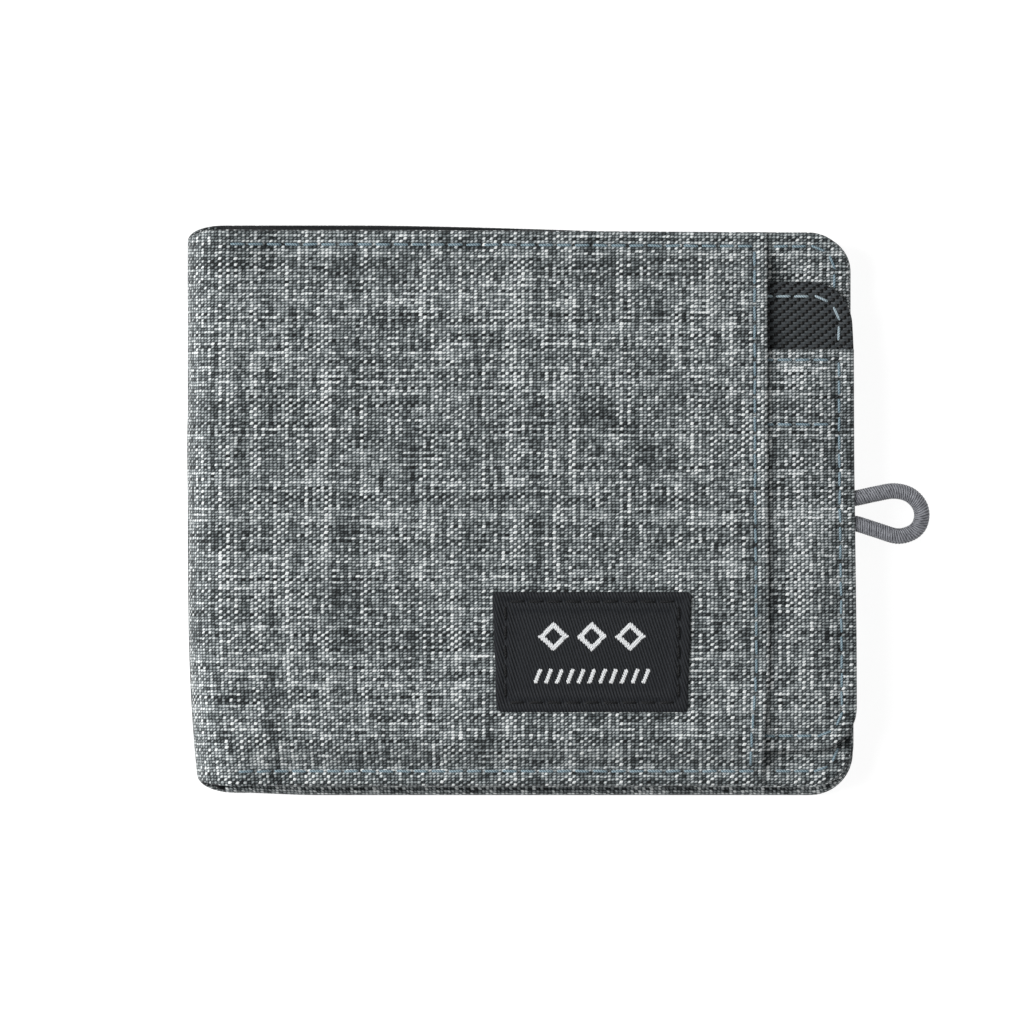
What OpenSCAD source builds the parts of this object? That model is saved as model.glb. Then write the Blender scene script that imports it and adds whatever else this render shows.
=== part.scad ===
// Bifold wallet of heathered grey cloth with a slip pocket and a pull-out card holder.
// It lies closed on its back cover: +X runs from the fold to the free edge, +Y towards the
// open side of the note pocket, and +Z up. All lengths are in millimetres.
// Each half is a sewn stack of flat layers. Four layers of cloth run round the fold.

/* [Overall size] */
// Width of the closed wallet, from the outside of the fold to the free edge
closed_w = 110.4; // [92:0.1:140]
// Height of the back half, along the fold
closed_h = 94.6; // [78:0.1:120]
// Radius of the two corners at the free edge
corner_r = 9; // [5:0.5:14]
// How much lower the front half's top edge is than the back half's
front_trim_top = 0.6; // [0:0.1:3]
// How much higher the front half's bottom edge is than the back half's
front_trim_bottom = 1.4; // [0:0.1:3]
// How much shorter the fold is at each end than the back half
fold_trim = 1.6; // [0:0.1:3]

/* [Layers of each half] */
// Thickness of the outer cloth
cloth_t = 0.6; // [0.4:0.05:0.9]
// Thickness of the foam padding behind the outer cloth
padding_t = 0.8; // [0.5:0.05:1.5]
// Thickness of the lining
lining_t = 0.3; // [0.2:0.05:0.6]
// Free height of the note pocket
note_gap = 0.8; // [0.5:0.05:2]
// Thickness of the wall between the note pocket and the card slots
wall_t = 0.4; // [0.3:0.05:0.8]
// Thickness of one card slot's panel
slot_t = 0.35; // [0.3:0.05:0.6]
// Free height between the two halves when they are closed
halves_gap = 1; // [0.6:0.1:3]
// Width of the seams that close the pockets' sides
seam_w = 3; // [2:0.1:4]
// How far the padding stays back from the edges
padding_inset = 2.4; // [1.5:0.1:4]

/* [Card slots] */
// Distance from the top edge down to the wall's top edge
wall_drop = 4; // [2:0.5:8]
// Distance from the wall's top edge down to the first slot's edge
slot_drop = 16; // [12:0.5:20]
// Step from one slot's edge down to the next
slot_step = 12; // [9:0.5:14]
// Distance from the fold's centre to the slots
slot_fold_room = 5; // [4:0.5:10]

/* [Slip pocket] */
// Distance from the free edge back to the slip pocket's edge
pocket_edge_inset = 13.7; // [10:0.1:20]
// Width of the hem turned under at the slip pocket's edge
hem_w = 5; // [4:0.1:8]
// Extra thickness of the hem
hem_t = 0.4; // [0.3:0.05:0.8]
// Distance from the slip pocket's edge to its row of stitches
hem_stitch_inset = 2.1; // [1.6:0.1:3]

/* [Card holder] */
// How far the card holder stands out past the free edge
holder_over = 0.8; // [0:0.1:3]
// Distance from the outside of the fold to the holder's inner end
holder_end_room = 15; // [14:0.5:24]
// Distance from the front half's top edge down to the holder
holder_top_room = 8.4; // [5:0.1:12]
// Distance from the front half's bottom edge up to the holder
holder_bottom_room = 5.8; // [5:0.1:12]
// Radius of the holder's corners
holder_corner_r = 6.4; // [4:0.1:9]
// Thickness of each of the holder's two twill sheets
twill_t = 0.4; // [0.3:0.05:0.8]
// Thickness of the stiffening board between the holder's twill sheets
board_t = 0.7; // [0.4:0.05:1]
// How far the board stays back from the holder's edges
board_inset = 5.6; // [5.6:0.1:8]
// Free height for a card in the holder
card_gap = 1.2; // [0.9:0.05:2]
// Distance from the holder's top edge down to its pocket's edge
holder_pocket_drop = 11.4; // [9:0.1:16]
// Width of the wide hem along the holder pocket's edge
band_w = 13.6; // [8:0.1:16]
// Distance from the pocket's edge down to the hem's upper row of stitches
band_upper_row = 1.8; // [1.5:0.1:3]
// Distance from the pocket's edge down to the hem's lower row of stitches
band_lower_row = 12.6; // [6:0.1:15]
// Clearance between the holder and the layers that it slides between
slide_gap = 0.3; // [0.25:0.05:0.8]

/* [Pull loop] */
// Diameter of the elastic cord
cord_d = 2.6; // [1.8:0.1:3]
// Clearance round the cord where it is sewn in
cord_clear = 0.05; // [0.05:0.01:0.15]

/* [Woven label] */
// Length of the label
label_w = 32; // [20:0.5:40]
// Height of the label
label_h = 20; // [12:0.5:26]
// Thickness of the label
label_t = 0.45; // [0.3:0.05:0.8]
// Distance from the slip pocket's edge to the label's middle
label_edge_room = 29.3; // [26:0.1:50]
// Distance from the front half's bottom edge to the label's middle
label_bottom_room = 22.3; // [18:0.1:40]
// Height of the woven motif above the label
motif_t = 0.12; // [0.08:0.02:0.3]

/* [Stitches] */
// Length of one stitch
stitch_l = 2.2; // [1.6:0.1:3]
// Distance from one stitch to the next
stitch_pitch = 3; // [2.4:0.1:4]
// Thickness of the thread
thread_t = 0.4; // [0.3:0.02:0.5]
// How far the thread sinks into the cloth
thread_sink = 0.2; // [0.1:0.02:0.25]
// Clearance between the thread and the groove that it lies in
thread_clear = 0.05; // [0.02:0.01:0.1]
// Distance from an outer edge to its row of stitches
edge_stitch_inset = 2.4; // [2:0.1:4]
// Distance from the holder's edge to its row of stitches
holder_stitch_inset = 2.5; // [2:0.1:3]
// Distance from the label's edge to its stitches
label_stitch_inset = 1.6; // [1:0.1:2]

/* [Hidden] */
$fn = 64;
slots = 3;

// Heights of the layers, from the table up
back_padding_z = cloth_t;
back_lining_z = back_padding_z + padding_t;
back_wall_z = back_lining_z + lining_t + note_gap;
back_slots_z = back_wall_z + wall_t;
front_slots_z = back_slots_z + slots * slot_t + halves_gap;
front_wall_z = front_slots_z + slots * slot_t;
front_lining_z = front_wall_z + wall_t + note_gap;
front_padding_z = front_lining_z + lining_t;
front_base_z = front_padding_z + padding_t;
base_top = front_base_z + cloth_t;
holder_z = base_top + slide_gap;
board_z = holder_z + twill_t;
face_z = board_z + board_t;
face_top = face_z + twill_t;
holder_pocket_z = face_top + card_gap;
holder_top = holder_pocket_z + cloth_t;
panel_z = holder_top + slide_gap + hem_t;
total_t = panel_z + cloth_t;

// Outlines in plan
x_fold = -(closed_w + holder_over) / 2;
x_edge = x_fold + closed_w;
x_holder = x_edge + holder_over;
x_pocket = x_edge - pocket_edge_inset;
back_y = [-closed_h / 2, closed_h / 2];
front_y = [back_y[0] + front_trim_bottom, back_y[1] - front_trim_top];
fold_y = [back_y[0] + fold_trim, back_y[1] - fold_trim];
holder_y = [front_y[0] + holder_bottom_room, front_y[1] - holder_top_room];
holder_x = [x_fold + holder_end_room, x_holder];
holder_pocket_y = holder_y[1] - holder_pocket_drop;

// The fold: the outer cloth runs round a half circle, and each inner layer that crosses
// runs round a smaller one. The two hinge lines keep the outer cloth's length when it opens.
fold_r = total_t / 2;
fold_x = x_fold + fold_r;
hinge_reach = fold_r * PI / 4;
hinge_x = fold_x - hinge_reach;
hinge_z = [fold_r - hinge_reach, fold_r + hinge_reach];
fold_slit = 0.15;
inner_mid_z = (back_slots_z + front_wall_z) / 2;
lining_r = inner_mid_z - back_lining_z;
wall_r = inner_mid_z - back_wall_z;
inner_room = 0.3;
// Distance between the centre of the outer fold and that of the inner ones
inner_drop = fold_r - inner_mid_z;
inner_space = fold_r - cloth_t - inner_room - lining_r;
inner_x = fold_x - sqrt(max(0, inner_space * inner_space - inner_drop * inner_drop));

label_x = x_pocket - label_edge_room;
label_y = front_y[0] + label_bottom_room;
label_top = total_t + label_t;
far = 400;

// The pull loop's centre line, from where it leaves the holder's edge: across, along, up
loop_route = [
    [-5, 2, 0], [-2.5, 2, 0], [0, 2, 0], [3.4, 2.7, -0.2], [6.4, 3.2, -0.5], [8.9, 2.7, -0.8],
    [10.6, 1.2, -1], [11.2, -0.6, -1], [10.8, -2.5, -1], [9.4, -3.8, -0.8], [7, -4.3, -0.5],
    [3.6, -3.3, -0.2], [0, -2.2, 0], [-2.5, -2.2, 0], [-5, -2.2, 0]
];
loop_sides = 8;
loop_z = (holder_z + holder_top) / 2;

grey_cloth = "#74797b";
black_cloth = "#1e2023";
foam_white = "#d9d9d4";
twill_black = "#2c2f33";
board_brown = "#a08a66";
thread_blue = "#9aa5b1";
thread_black = "#121315";
motif_white = "#e3e7eb";
cord_grey = "#7d8188";

// ---- Plan shapes ----

// A panel of one half: square at the fold, round at its two free corners
module half_outline(x, y, r) {
    translate([x[0], y[0]]) square([x[1] - r - x[0], y[1] - y[0]]);
    translate([x[0], y[0] + r]) square([x[1] - x[0], y[1] - y[0] - 2 * r]);
    for (cy = [y[0] + r, y[1] - r]) translate([x[1] - r, cy]) circle(r);
}

module round_outline(x, y, r) {
    translate([x[0] + r, y[0]]) square([x[1] - x[0] - 2 * r, y[1] - y[0]]);
    translate([x[0], y[0] + r]) square([x[1] - x[0], y[1] - y[0] - 2 * r]);
    for (cx = [x[0] + r, x[1] - r], cy = [y[0] + r, y[1] - r]) translate([cx, cy]) circle(r);
}

module slab(z, t) {
    translate([0, 0, z]) linear_extrude(t) children();
}

module block(x, y, z) {
    translate([x[0], y[0], z[0]]) cube([x[1] - x[0], y[1] - y[0], z[1] - z[0]]);
}

function shrink(span, by) = [span[0] + by, span[1] - by];

// ---- Cloth round the fold ----

// Section across the fold: a half ring about a centre, drawn with height as the second axis
module ring_section(centre, r, t) {
    difference() {
        translate(centre) circle(r);
        translate(centre) circle(r - t);
        translate([centre[0], centre[1] - far / 2]) square(far);
    }
}

// The part of a section that belongs to the back half, the fold or the front half.
// Its borders run from the section's centre through the two hinge lines.
module fold_share(share, centre) {
    down = [hinge_x - centre[0], hinge_z[0] - centre[1]] * 10;
    up = [hinge_x - centre[0], hinge_z[1] - centre[1]] * 10;
    translate(centre)
        if (share == "back") polygon([[0, 0], down, [0, down[1]]]);
        else if (share == "front") polygon([[0, 0], [0, up[1]], up]);
        else translate([-fold_slit, 0]) polygon([[0, 0], up, down]);
}

module round_fold(share, centre, r, t, y) {
    translate([0, y[1], 0]) rotate([90, 0, 0]) linear_extrude(y[1] - y[0])
        intersection() {
            ring_section(centre, r, t);
            fold_share(share, centre);
        }
}

module outer_fold(share, y) round_fold(share, [fold_x, fold_r], fold_r, cloth_t, y);

module lining_fold(share, y) round_fold(share, [inner_x, inner_mid_z], lining_r, lining_t, y);

module wall_fold(share, y) round_fold(share, [inner_x, inner_mid_z], wall_r, wall_t, y);

// ---- Stitches ----

// Rows of stitches are lists of [x, y, direction]
function row(p, q) =
    let (n = floor(norm(q - p) / stitch_pitch), d = q - p)
    [for (i = [0 : n - 1]) let (m = p + d * (i + 0.5) / n) [m[0], m[1], atan2(d[1], d[0])]];

// A corner too tight for a stitch has none
function bend(centre, r, a0, a1) =
    let (n = round(r * abs(a1 - a0) * PI / 180 / stitch_pitch))
    n == 0 ? [] : [for (i = [0 : n - 1]) let (a = a0 + (a1 - a0) * (i + 0.5) / n)
        [centre[0] + r * cos(a), centre[1] + r * sin(a), a + 90]];

// Along the three free sides of a half, from the fold and back to it
function half_seam(x, y, r) = concat(
    row([x[0], y[1]], [x[1] - r, y[1]]),
    bend([x[1] - r, y[1] - r], r, 90, 0),
    row([x[1], y[1] - r], [x[1], y[0] + r]),
    bend([x[1] - r, y[0] + r], r, 0, -90),
    row([x[1] - r, y[0]], [x[0], y[0]]));

function round_seam(x, y, r) = concat(
    half_seam([x[0] + r, x[1]], y, r),
    bend([x[0] + r, y[0] + r], r, -90, -180),
    row([x[0], y[0] + r], [x[0], y[1] - r]),
    bend([x[0] + r, y[1] - r], r, 180, 90));

// Stitches that lie on an upward face, sunk a little into it
module stitches(seam, z) {
    for (s = seam) translate([s[0], s[1], z - thread_sink]) rotate(s[2])
        translate([-stitch_l / 2, -thread_t / 2, 0]) cube([stitch_l, thread_t, thread_t]);
}

groove_w = thread_t + 2 * thread_clear;

module half_groove(x, y, r, inset) {
    difference() {
        half_outline([x[0], x[1] - inset + groove_w / 2], shrink(y, inset - groove_w / 2),
                     r - inset + groove_w / 2);
        half_outline([x[0] - 1, x[1] - inset - groove_w / 2], shrink(y, inset + groove_w / 2),
                     r - inset - groove_w / 2);
    }
}

module round_groove(x, y, r, inset) {
    difference() {
        round_outline(shrink(x, inset - groove_w / 2), shrink(y, inset - groove_w / 2),
                      r - inset + groove_w / 2);
        round_outline(shrink(x, inset + groove_w / 2), shrink(y, inset + groove_w / 2),
                      r - inset - groove_w / 2);
    }
}

// A groove for one straight row of stitches on an upward face
module groove(x, y, z) {
    block(x, y, [z - thread_sink, z + 1]);
}

function groove_at(c) = [c - groove_w / 2, c + groove_w / 2];

// ---- Layers that both halves have ----

half_x = [fold_x, x_edge];
inner_half_x = [inner_x, x_edge];

module padding(z, y) {
    color(foam_white) slab(z, padding_t)
        half_outline([fold_x + padding_inset, x_edge - padding_inset],
                     shrink(y, padding_inset), corner_r - padding_inset);
}

module lining(share, z, y) {
    color(black_cloth) {
        slab(z, lining_t) half_outline(inner_half_x, y, corner_r);
        lining_fold(share, y);
    }
}

// The wall of the note pocket, with the seams that close it below and at its free side
module note_wall(share, z, seam_z, y) {
    wall_y = [y[0], y[1] - wall_drop];
    color(black_cloth) {
        slab(z, wall_t) half_outline(inner_half_x, wall_y, corner_r);
        slab(seam_z, note_gap) difference() {
            half_outline([fold_x, x_edge], wall_y, corner_r);
            half_outline([fold_x - 1, x_edge - seam_w], [wall_y[0] + seam_w, y[1] + 1],
                         corner_r - seam_w);
        }
        wall_fold(share, wall_y);
    }
}

slot_x = [fold_x + slot_fold_room, x_edge];

function slot_edge(i, y) = y[1] - wall_drop - slot_drop - i * slot_step;

function slot_rows(i, y) =
    row([slot_x[0] + seam_w, slot_edge(i, y) - edge_stitch_inset],
        [slot_x[1] - seam_w, slot_edge(i, y) - edge_stitch_inset]);

// The slot panels hold their stitches on the face that looks into the open wallet
module slot_panel(z, i, y, face_up) {
    edge = slot_edge(i, y);
    row_y = groove_at(edge - edge_stitch_inset);
    cut = thread_sink + 1;
    color(black_cloth) difference() {
        slab(z, slot_t) intersection() {
            half_outline([slot_x[0], x_edge], [y[0], y[1]], corner_r);
            translate([slot_x[0], y[0]]) square([x_edge - slot_x[0], edge - y[0]]);
        }
        block(shrink(slot_x, seam_w - 1), row_y,
              face_up ? [z + slot_t - thread_sink, z + slot_t + 1]
                      : [z - 1, z + thread_sink]);
    }
}

// ---- Back half ----

module back_cover() {
    color(grey_cloth) difference() {
        union() {
            slab(0, cloth_t) half_outline(half_x, back_y, corner_r);
            outer_fold("back", fold_y);
        }
        slab(-1, 1 + thread_t + thread_clear)
            half_groove(half_x, back_y, corner_r, edge_stitch_inset);
    }
}

module back_padding() padding(back_padding_z, back_y);

module back_lining() lining("back", back_lining_z, back_y);

module back_note_wall()
    note_wall("back", back_wall_z, back_lining_z + lining_t, back_y);

module back_slot(i) slot_panel(back_slots_z + i * slot_t, i, back_y, true);

module back_slot_stitches() {
    color(thread_blue) for (i = [0 : slots - 1])
        stitches(slot_rows(i, back_y), back_slots_z + (i + 1) * slot_t);
}

// The back cover's stitches lie inside its groove, so that the cover rests flat
module back_edge_stitches() {
    color(thread_blue) stitches(
        half_seam([fold_x, x_edge - edge_stitch_inset], shrink(back_y, edge_stitch_inset),
                  corner_r - edge_stitch_inset),
        thread_sink + thread_clear);
}

// ---- Fold ----

module fold_cover() color(grey_cloth) outer_fold("fold", fold_y);

module fold_lining() color(black_cloth) lining_fold("fold", fold_y);

module fold_note_wall()
    color(black_cloth) wall_fold("fold", [fold_y[0], fold_y[1] - wall_drop]);

// ---- Front half ----

front_seam = half_seam([fold_x, x_edge - edge_stitch_inset],
                       shrink(front_y, edge_stitch_inset), corner_r - edge_stitch_inset);

// The outer cloth comes round the fold and ends at the slip pocket's hemmed edge.
// Its top and bottom seams close the pocket's sides.
module front_pocket_panel() {
    panel_x = [fold_x, x_pocket];
    inside_y = shrink(front_y, seam_w);
    color(grey_cloth) difference() {
        union() {
            block(panel_x, front_y, [panel_z, total_t]);
            block([x_pocket - hem_w, x_pocket], inside_y, [panel_z - hem_t, panel_z]);
            for (y = [[front_y[0], inside_y[0]], [inside_y[1], front_y[1]]])
                block(panel_x, y, [base_top, panel_z]);
            outer_fold("front", fold_y);
        }
        slab(total_t - thread_sink, 1) intersection() {
            half_groove(half_x, front_y, corner_r, edge_stitch_inset);
            translate([fold_x, front_y[0]]) square([x_pocket - fold_x, closed_h]);
        }
        groove(groove_at(x_pocket - hem_stitch_inset), shrink(front_y, seam_w), total_t);
    }
}

// The full-size panel under the slip pocket; the holder slides over it
module front_base_panel() {
    color(grey_cloth) difference() {
        slab(front_base_z, cloth_t) half_outline(half_x, front_y, corner_r);
        slab(base_top - thread_sink, 1) intersection() {
            half_groove(half_x, front_y, corner_r, edge_stitch_inset);
            translate([x_pocket, front_y[0]]) square([closed_w, closed_h]);
        }
    }
}

module front_padding() padding(front_padding_z, front_y);

module front_lining() lining("front", front_lining_z, front_y);

module front_note_wall()
    note_wall("front", front_wall_z, front_wall_z + wall_t, front_y);

function front_slot_z(i) = front_wall_z - (i + 1) * slot_t;

module front_slot(i) slot_panel(front_slot_z(i), i, front_y, false);

module front_slot_stitches() {
    color(thread_blue) for (i = [0 : slots - 1])
        stitches(slot_rows(i, front_y), front_slot_z(i) + 2 * thread_sink - thread_t);
}

module front_edge_stitches() {
    half_stitch = stitch_l / 2;
    on_panel = [for (s = front_seam) if (s[0] < x_pocket - half_stitch) s];
    on_base = [for (s = front_seam) if (s[0] > x_pocket + half_stitch) s];
    color(thread_blue) {
        stitches(on_panel, total_t);
        stitches(on_base, base_top);
    }
}

module pocket_hem_stitches() {
    x = x_pocket - hem_stitch_inset;
    color(thread_blue)
        stitches(row([x, front_y[0] + seam_w], [x, front_y[1] - seam_w]), total_t);
}

// ---- Woven label ----

label_span_x = [label_x - label_w / 2, label_x + label_w / 2];
label_span_y = [label_y - label_h / 2, label_y + label_h / 2];
label_corner_r = 2;

module woven_label() {
    color(twill_black) difference() {
        slab(total_t, label_t) round_outline(label_span_x, label_span_y, label_corner_r);
        slab(label_top - thread_sink, 1)
            round_groove(label_span_x, label_span_y, label_corner_r, label_stitch_inset);
    }
}

// Three diamonds over a row of slanted bars
module label_motif() {
    diamond_r = 2.6;
    diamond_step = 6.4;
    bar = [0.7, 2.6];
    bar_step = 1.8;
    bars = 11;
    color(motif_white) slab(label_top, motif_t) translate([label_x, label_y]) {
        for (i = [-1 : 1]) translate([i * diamond_step, 2.6]) difference() {
            circle(diamond_r, $fn = 4);
            circle(diamond_r / 2, $fn = 4);
        }
        for (i = [0 : bars - 1]) translate([(i - (bars - 1) / 2) * bar_step, -4])
            rotate(-20) square(bar, center = true);
    }
}

module label_stitches() {
    color(thread_black) stitches(
        round_seam(shrink(label_span_x, label_stitch_inset),
                   shrink(label_span_y, label_stitch_inset),
                   label_corner_r - label_stitch_inset), label_top);
}

// ---- Card holder ----

// Two tunnels in the holder's edge, where the ends of the pull loop are sewn in
module loop_tunnels() {
    tail = -loop_route[0][0] + cord_clear;
    for (end = [loop_route[0], loop_route[len(loop_route) - 1]])
        translate([x_holder - tail, end[1], loop_z]) rotate([0, 90, 0])
            cylinder(h = tail + 1, r = cord_d / 2 + cord_clear);
}

module holder_outline(by = 0) {
    round_outline(shrink(holder_x, by), shrink(holder_y, by), holder_corner_r - by);
}

// The part of the holder that its pocket covers, or leaves bare
module below_pocket_edge() {
    translate([holder_x[0], holder_y[0]])
        square([holder_x[1] - holder_x[0], holder_pocket_y - holder_y[0]]);
}

// The lower twill sheet, with the turned-in rim that surrounds the board
module holder_back() {
    color(twill_black) difference() {
        slab(holder_z, twill_t + board_t) holder_outline();
        block(shrink(holder_x, board_inset), shrink(holder_y, board_inset), [board_z, face_z + 1]);
        loop_tunnels();
    }
}

module holder_board() {
    color(board_brown)
        block(shrink(holder_x, board_inset), shrink(holder_y, board_inset), [board_z, face_z]);
}

// The upper twill sheet, bare above the holder's pocket
module holder_face() {
    color(twill_black) difference() {
        slab(face_z, twill_t) holder_outline();
        slab(face_top - thread_sink, 1) difference() {
            round_groove(holder_x, holder_y, holder_corner_r, holder_stitch_inset);
            below_pocket_edge();
        }
        loop_tunnels();
    }
}

// The cloth pocket on the holder: open at its top edge, with a wide hem inside it
module holder_pocket() {
    rows = [holder_pocket_y - band_upper_row, holder_pocket_y - band_lower_row];
    color(grey_cloth) difference() {
        union() {
            slab(holder_pocket_z, cloth_t) intersection() {
                holder_outline();
                below_pocket_edge();
            }
            slab(face_top, card_gap) intersection() {
                difference() {
                    holder_outline();
                    holder_outline(seam_w);
                }
                below_pocket_edge();
            }
            block(shrink(holder_x, seam_w), [holder_pocket_y - band_w, holder_pocket_y],
                  [holder_pocket_z - hem_t, holder_pocket_z]);
        }
        slab(holder_top - thread_sink, 1)
            round_groove(holder_x, holder_y, holder_corner_r, holder_stitch_inset);
        for (y = rows) groove(shrink(holder_x, seam_w + 1), groove_at(y), holder_top);
        loop_tunnels();
    }
}

module holder_edge_stitches() {
    half_stitch = stitch_l / 2;
    seam = round_seam(shrink(holder_x, holder_stitch_inset),
                      shrink(holder_y, holder_stitch_inset),
                      holder_corner_r - holder_stitch_inset);
    on_twill = [for (s = seam) if (s[1] > holder_pocket_y + half_stitch) s];
    on_pocket = [for (s = seam) if (s[1] < holder_pocket_y - half_stitch) s];
    color(thread_blue) {
        stitches(on_twill, face_top);
        stitches(on_pocket, holder_top);
    }
}

module holder_band_stitches() {
    x = shrink(holder_x, seam_w + 1);
    color(thread_blue) for (drop = [band_upper_row, band_lower_row])
        stitches(row([x[0], holder_pocket_y - drop], [x[1], holder_pocket_y - drop]), holder_top);
}

// ---- Pull loop: a tube swept along its route ----

function unit(v) = v / norm(v);

function heading(path, i) =
    unit(path[min(i + 1, len(path) - 1)] - path[max(i - 1, 0)]);

// One ring of points round the route at point i
function ring(path, i) =
    let (t = heading(path, i), side = unit(cross([0, 0, 1], t)), up = cross(t, side))
    [for (k = [0 : loop_sides - 1]) let (a = 360 * (k + 0.5) / loop_sides)
        path[i] + cord_d / 2 * (cos(a) * side + sin(a) * up)];

module tube(path) {
    rings = len(path);
    points = [for (i = [0 : rings - 1]) each ring(path, i)];
    walls = [for (i = [0 : rings - 2], k = [0 : loop_sides - 1])
        let (a = i * loop_sides, n = (k + 1) % loop_sides)
        [a + k, a + loop_sides + k, a + loop_sides + n, a + n]];
    first = [for (k = [0 : loop_sides - 1]) k];
    last = [for (k = [loop_sides - 1 : -1 : 0]) (rings - 1) * loop_sides + k];
    polyhedron(points, concat(walls, [first], [last]));
}

module pull_loop() {
    color(cord_grey) tube([for (p = loop_route) p + [x_holder, 0, loop_z]]);
}

back_cover();
back_padding();
back_lining();
back_note_wall();
back_slot(0);  // back_slot_1
back_slot(1);  // back_slot_2
back_slot(2);  // back_slot_3
back_slot_stitches();
back_edge_stitches();
fold_cover();
fold_lining();
fold_note_wall();
front_pocket_panel();
front_base_panel();
front_padding();
front_lining();
front_note_wall();
front_slot(0);  // front_slot_1
front_slot(1);  // front_slot_2
front_slot(2);  // front_slot_3
front_slot_stitches();
front_edge_stitches();
pocket_hem_stitches();
woven_label();
label_motif();
label_stitches();
holder_back();
holder_board();
holder_face();
holder_pocket();
holder_edge_stitches();
holder_band_stitches();
pull_loop();
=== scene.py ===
# %% [markdown]
# # A cloth bifold wallet
# The wallet lies closed on its back cover. Each half is a sewn stack of cloth, foam and lining,
# and three of those layers run on round the fold. A twill card holder with an elastic pull loop
# slides out of the pocket on the front. Each cell below makes one piece or one finish. The CAD
# model gives the sizes, so it is loaded first.

# %% Load the frame
import math

import bmesh
import bpy
import numpy as np
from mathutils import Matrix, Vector


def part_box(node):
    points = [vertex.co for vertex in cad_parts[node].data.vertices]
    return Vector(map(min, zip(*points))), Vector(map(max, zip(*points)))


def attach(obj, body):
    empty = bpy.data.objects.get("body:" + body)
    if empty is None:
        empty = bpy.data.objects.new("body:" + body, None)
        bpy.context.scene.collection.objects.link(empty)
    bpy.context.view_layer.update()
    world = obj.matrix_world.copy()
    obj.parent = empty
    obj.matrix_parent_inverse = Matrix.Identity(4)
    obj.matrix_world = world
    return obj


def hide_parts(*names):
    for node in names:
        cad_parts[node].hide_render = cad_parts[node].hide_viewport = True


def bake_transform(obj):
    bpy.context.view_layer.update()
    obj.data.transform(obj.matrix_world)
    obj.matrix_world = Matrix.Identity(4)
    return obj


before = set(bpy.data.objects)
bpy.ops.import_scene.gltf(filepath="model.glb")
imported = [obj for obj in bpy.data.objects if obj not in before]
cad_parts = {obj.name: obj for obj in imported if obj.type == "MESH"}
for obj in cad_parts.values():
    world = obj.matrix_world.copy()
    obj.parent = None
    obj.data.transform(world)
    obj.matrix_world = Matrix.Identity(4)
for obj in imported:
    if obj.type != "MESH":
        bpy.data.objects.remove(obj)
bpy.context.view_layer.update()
MM = 0.001
link = bpy.context.scene.collection.objects.link

# %% [markdown]
# ## Sizes from the CAD model
# Each node gives its lowest and highest place across, along and up. A few nodes give the outline
# of each half, the heights of the layers, and the two half circles that cloth follows round the
# fold: a wide one for the cover, and a narrow one for the lining and the note pocket's wall.

# %% Sizes from the CAD model
PAD_INSET = 2.4 * MM
WALL_T = 0.4 * MM
CORNER_R = 6.8 * MM
FRONT_SKEW = 0.4 * MM
BACK_SKEW = 1.9 * MM


def spans(node):
    return zip(*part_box(node))


(_, x_edge), back_y, _ = spans("back_cover")
_, front_y, (_, base_flat) = spans("front_base_panel")
(_, x_pocket), _, (_, top_z) = spans("front_pocket_panel")
holder_x, holder_y, (holder_z, _) = spans("holder_back")
_, _, (_, face_flat) = spans("holder_face")
_, (_, pouch_edge), (_, pouch_flat) = spans("holder_pocket")
label_x, label_y, (label_low, label_high) = spans("woven_label")
_, fold_y, _ = spans("fold_cover")
_, _, (back_slot_z, _) = spans("back_slot_1")
_, _, (_, front_slot_z) = spans("front_slot_1")

x_holder = holder_x[1]
fold_r = top_z / 2
fold_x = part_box("back_padding")[0].x - PAD_INSET
inner_mid = (back_slot_z + front_slot_z) / 2
lining_r = inner_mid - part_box("back_lining")[0].z
wall_r = inner_mid - back_slot_z + WALL_T
inner_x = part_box("fold_lining")[0].x + lining_r
print("fold starts at x mm", round(fold_x / MM, 2), "and the inner one at", round(inner_x / MM, 2))

# %% [markdown]
# ## Camera
# The wallet is seen from straight above with a long lens, so its sides hardly show. The lens is
# worked out from the camera's height and from the width it should take in at the cover's height.

# %% Camera
VIEW_WIDTH = 170.4 * MM
CAMERA_HEIGHT = 2.4
AIM = (-1.5 * MM, -0.3 * MM)
SENSOR = 36.0
camera_data = bpy.data.cameras.new("camera")
camera_data.sensor_width = SENSOR
camera_data.lens = SENSOR * (CAMERA_HEIGHT - top_z) / VIEW_WIDTH
camera_data.clip_start = 0.01
camera = bpy.data.objects.new("camera", camera_data)
camera.location = (*AIM, CAMERA_HEIGHT)
link(camera)
bpy.context.scene.camera = camera
print("lens mm:", round(camera_data.lens, 1))

# %% [markdown]
# ## Mesh helpers
# Cloth is made here from numpy arrays of points, because a formula can then say where each point
# goes. `make_mesh` turns points and faces into a smooth piece with a texture map in metres of
# cloth, so that a weave keeps its true thread spacing and bends with the piece when it moves.

# %% Mesh helpers
def make_mesh(name, points, faces, cloth_map):
    mesh = bpy.data.meshes.new(name)
    mesh.from_pydata(np.asarray(points).tolist(), [], faces)
    layer = mesh.uv_layers.new(name="cloth")
    corners = np.empty(len(mesh.loops), dtype=np.int32)
    mesh.loops.foreach_get("vertex_index", corners)
    layer.data.foreach_set("uv", np.asarray(cloth_map, dtype=np.float32)[corners].ravel())
    work = bmesh.new()
    work.from_mesh(mesh)
    bmesh.ops.remove_doubles(work, verts=work.verts, dist=1e-8)
    bmesh.ops.recalc_face_normals(work, faces=work.faces)
    work.to_mesh(mesh)
    work.free()
    mesh.polygons.foreach_set("use_smooth", [True] * len(mesh.polygons))
    piece = bpy.data.objects.new(name, mesh)
    link(piece)
    return piece


def ease(value, low, high):
    """0 below low, 1 above high, and a smooth step between them."""
    t = np.clip((value - low) / (high - low), 0.0, 1.0)
    return t * t * (3 - 2 * t)


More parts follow.
